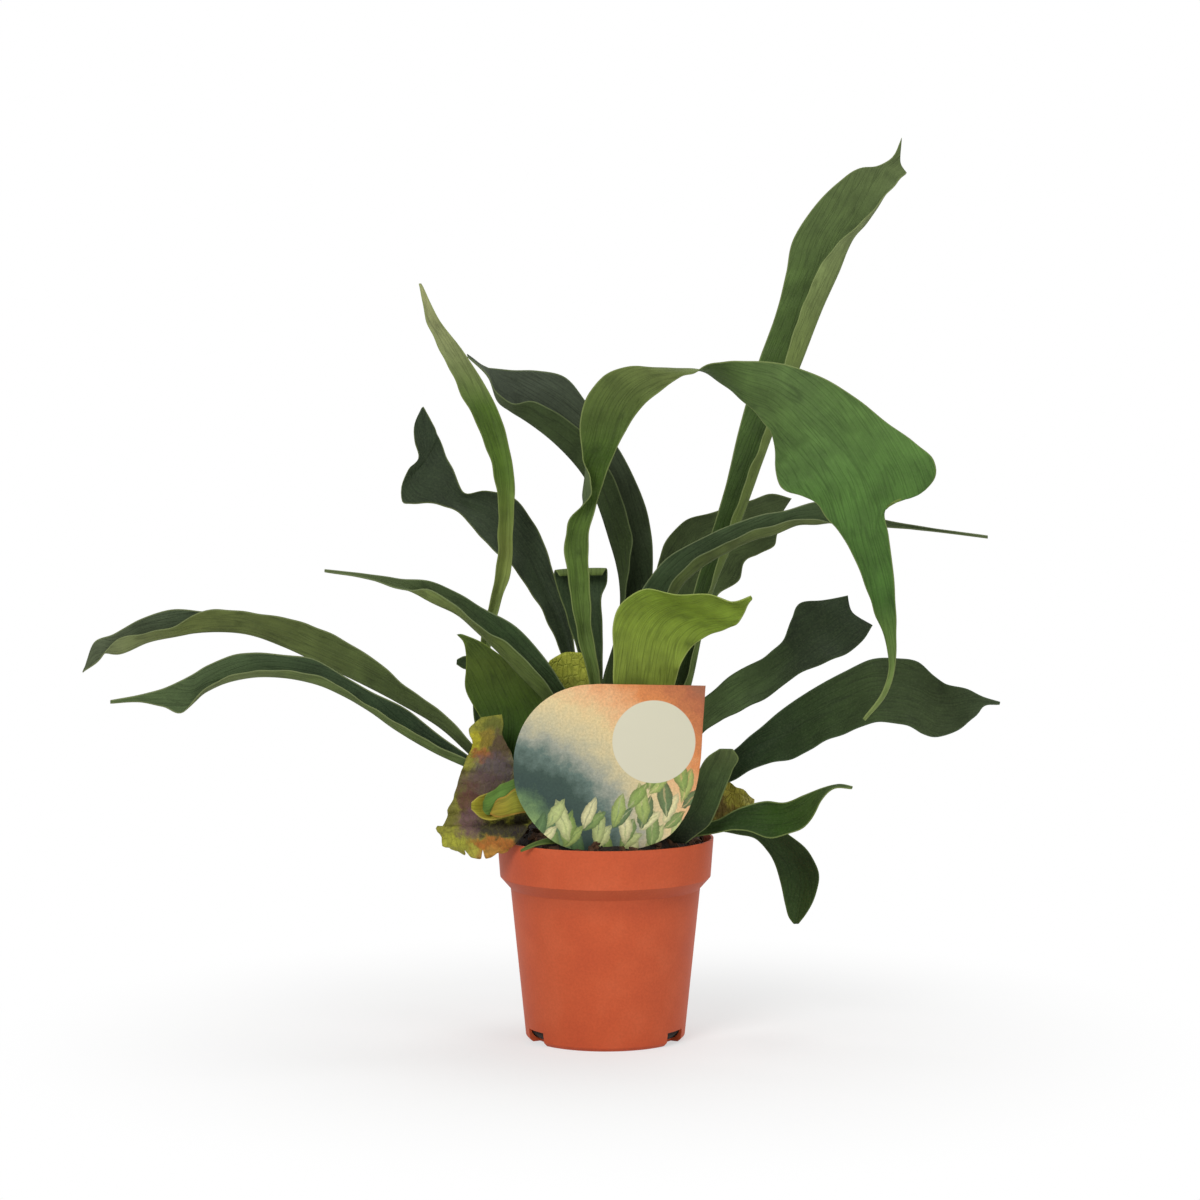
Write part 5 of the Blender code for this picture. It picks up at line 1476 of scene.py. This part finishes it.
PAPER_GRAIN = 9.0              # millimetres, the bloom of wet paint
PIGMENT_GRAIN = 1.3            # millimetres, pigment that settles in the paper
LEAF_WOBBLE = 5.0              # millimetres that a painted leaf's outline wanders
DISC_BLUR = 0.3                # millimetres, the soft edge of the disc

leaves = []
for radius, first, last, count in LEAF_ROWS:
    for i in range(count):
        angle = math.radians(first + (last - first) * (i + 0.5) / count)
        spin = (len(leaves) * LEAF_TURN) % 360.0 / 360.0
        leaves.append((RING_CENTRE[0] + radius * math.cos(angle),
                       RING_CENTRE[2] + radius * math.sin(angle),
                       70.0 + LEAF_SPREAD * (2.0 * spin - 1.0),
                       LEAF_LENGTHS[0] + (LEAF_LENGTHS[1] - LEAF_LENGTHS[0]) * spin,
                       LEAF_GREENS[len(leaves) % len(LEAF_GREENS)]))

printed, tree, output = new_material("printed_polypropylene_card")
place = add_node(tree, "ShaderNodeTexCoord")
point = add_node(tree, "ShaderNodeVectorMath", {"operation": "MULTIPLY"},
                 {0: place.outputs["Object"], 1: (1.0 / MM, 0.0, 1.0 / MM)})
wet = add_node(tree, "ShaderNodeTexNoise", (),
               {"Vector": point.outputs[0], "Scale": 1.0 / PAPER_GRAIN, "Detail": 6.0,
                "Roughness": 0.68})
reach = add_node(tree, "ShaderNodeVectorMath", {"operation": "DISTANCE"},
                 {0: point.outputs[0], 1: RING_CENTRE})
reach = add_node(tree, "ShaderNodeMath", {"operation": "MULTIPLY_ADD"},
                 {0: wet.outputs["Fac"], 1: WASH_WANDER, 2: reach.outputs["Value"]})
reach = add_node(tree, "ShaderNodeMapRange", (),
                 {"Value": reach.outputs[0], "From Min": WASH_WANDER / 2.0,
                  "From Max": WASH_WANDER / 2.0 + PRINT_REACH})
wash = add_node(tree, "ShaderNodeValToRGB",
                {"stops": [(d / PRINT_REACH, linear(c)) for d, c in RINGS]},
                {"Fac": reach.outputs["Result"]})
print_colour = wash.outputs["Color"]
wobble = add_node(tree, "ShaderNodeVectorMath", {"operation": "SUBTRACT"},
                  {0: wet.outputs["Color"], 1: (0.5, 0.5, 0.5)})
wobble = add_node(tree, "ShaderNodeVectorMath", {"operation": "MULTIPLY_ADD"},
                  {0: wobble.outputs[0], 1: (LEAF_WOBBLE, 0.0, LEAF_WOBBLE),
                   2: point.outputs[0]})
for x, z, turn, length, colour in leaves:
    local = add_node(tree, "ShaderNodeMapping", {"vector_type": "TEXTURE"},
                     {"Vector": wobble.outputs[0], "Location": (x, 0.0, z),
                      "Rotation": (0.0, -math.radians(turn), 0.0),
                      "Scale": (length / 2.0, 1.0, length / 2.0)})
    part = add_node(tree, "ShaderNodeSeparateXYZ", (), {0: local.outputs[0]})
    belly = add_node(tree, "ShaderNodeMath", {"operation": "MULTIPLY"},
                     {0: part.outputs["X"], 1: part.outputs["X"]})
    side = add_node(tree, "ShaderNodeMath", {"operation": "ABSOLUTE"}, {0: part.outputs["Z"]})
    belly = add_node(tree, "ShaderNodeMath", {"operation": "MULTIPLY_ADD"},
                     {0: side.outputs[0], 1: 1.0 / LEAF_WIDTH, 2: belly.outputs[0]})
    inside = add_node(tree, "ShaderNodeMapRange", (),
                      {"Value": belly.outputs[0], "From Min": 0.95, "From Max": 1.03,
                       "To Min": 0.93, "To Max": 0.0})
    rib = add_node(tree, "ShaderNodeMapRange", (),
                   {"Value": side.outputs[0], "From Min": 0.02, "From Max": 0.06,
                    "To Min": 0.6, "To Max": 1.0})
    inside = add_node(tree, "ShaderNodeMath", {"operation": "MULTIPLY"},
                      {0: inside.outputs["Result"], 1: rib.outputs["Result"]})
    rim_shade = add_node(tree, "ShaderNodeMapRange", (),
                         {"Value": belly.outputs[0], "From Min": 0.45, "From Max": 0.95,
                          "To Min": 1.08, "To Max": 0.66})
    painted = add_node(tree, "ShaderNodeVectorMath", {"operation": "SCALE"},
                       {0: linear(colour)[:3], "Scale": rim_shade.outputs["Result"]})
    print_colour = add_node(tree, "ShaderNodeMix", {"data_type": "RGBA"},
                            {0: inside.outputs[0], 6: print_colour,
                             7: painted.outputs[0]}).outputs[2]
pigment = add_node(tree, "ShaderNodeTexNoise", (),
                   {"Vector": point.outputs[0], "Scale": 1.0 / PIGMENT_GRAIN, "Detail": 4.0,
                    "Roughness": 0.75})
pigment = add_node(tree, "ShaderNodeMapRange", (),
                   {"Value": pigment.outputs["Fac"], "From Min": 0.3, "From Max": 0.7,
                    "To Min": 0.78, "To Max": 1.18})
print_colour = add_node(tree, "ShaderNodeVectorMath", {"operation": "SCALE"},
                        {0: print_colour, "Scale": pigment.outputs["Result"]}).outputs[0]
disc_reach = add_node(tree, "ShaderNodeVectorMath", {"operation": "DISTANCE"},
                      {0: point.outputs[0], 1: (DISC[0], 0.0, DISC[1])})
on_disc = add_node(tree, "ShaderNodeMapRange", (),
                   {"Value": disc_reach.outputs["Value"], "From Min": DISC[2] - DISC_BLUR,
                    "From Max": DISC[2], "To Min": 1.0, "To Max": 0.0})
print_colour = add_node(tree, "ShaderNodeMix", {"data_type": "RGBA"},
                        {0: on_disc.outputs["Result"], 6: print_colour,
                         7: linear("#CFCBB4")}).outputs[2]
shader = add_node(tree, "ShaderNodeBsdfPrincipled", (),
                  {"Base Color": print_colour, "Roughness": 0.45, "IOR": 1.49,
                   "Specular IOR Level": 0.35})
tree.links.new(shader.outputs[0], output.inputs["Surface"])
finish_piece(label, printed, "label_card", "plant_label")
print(len(leaves), "leaves in the print")
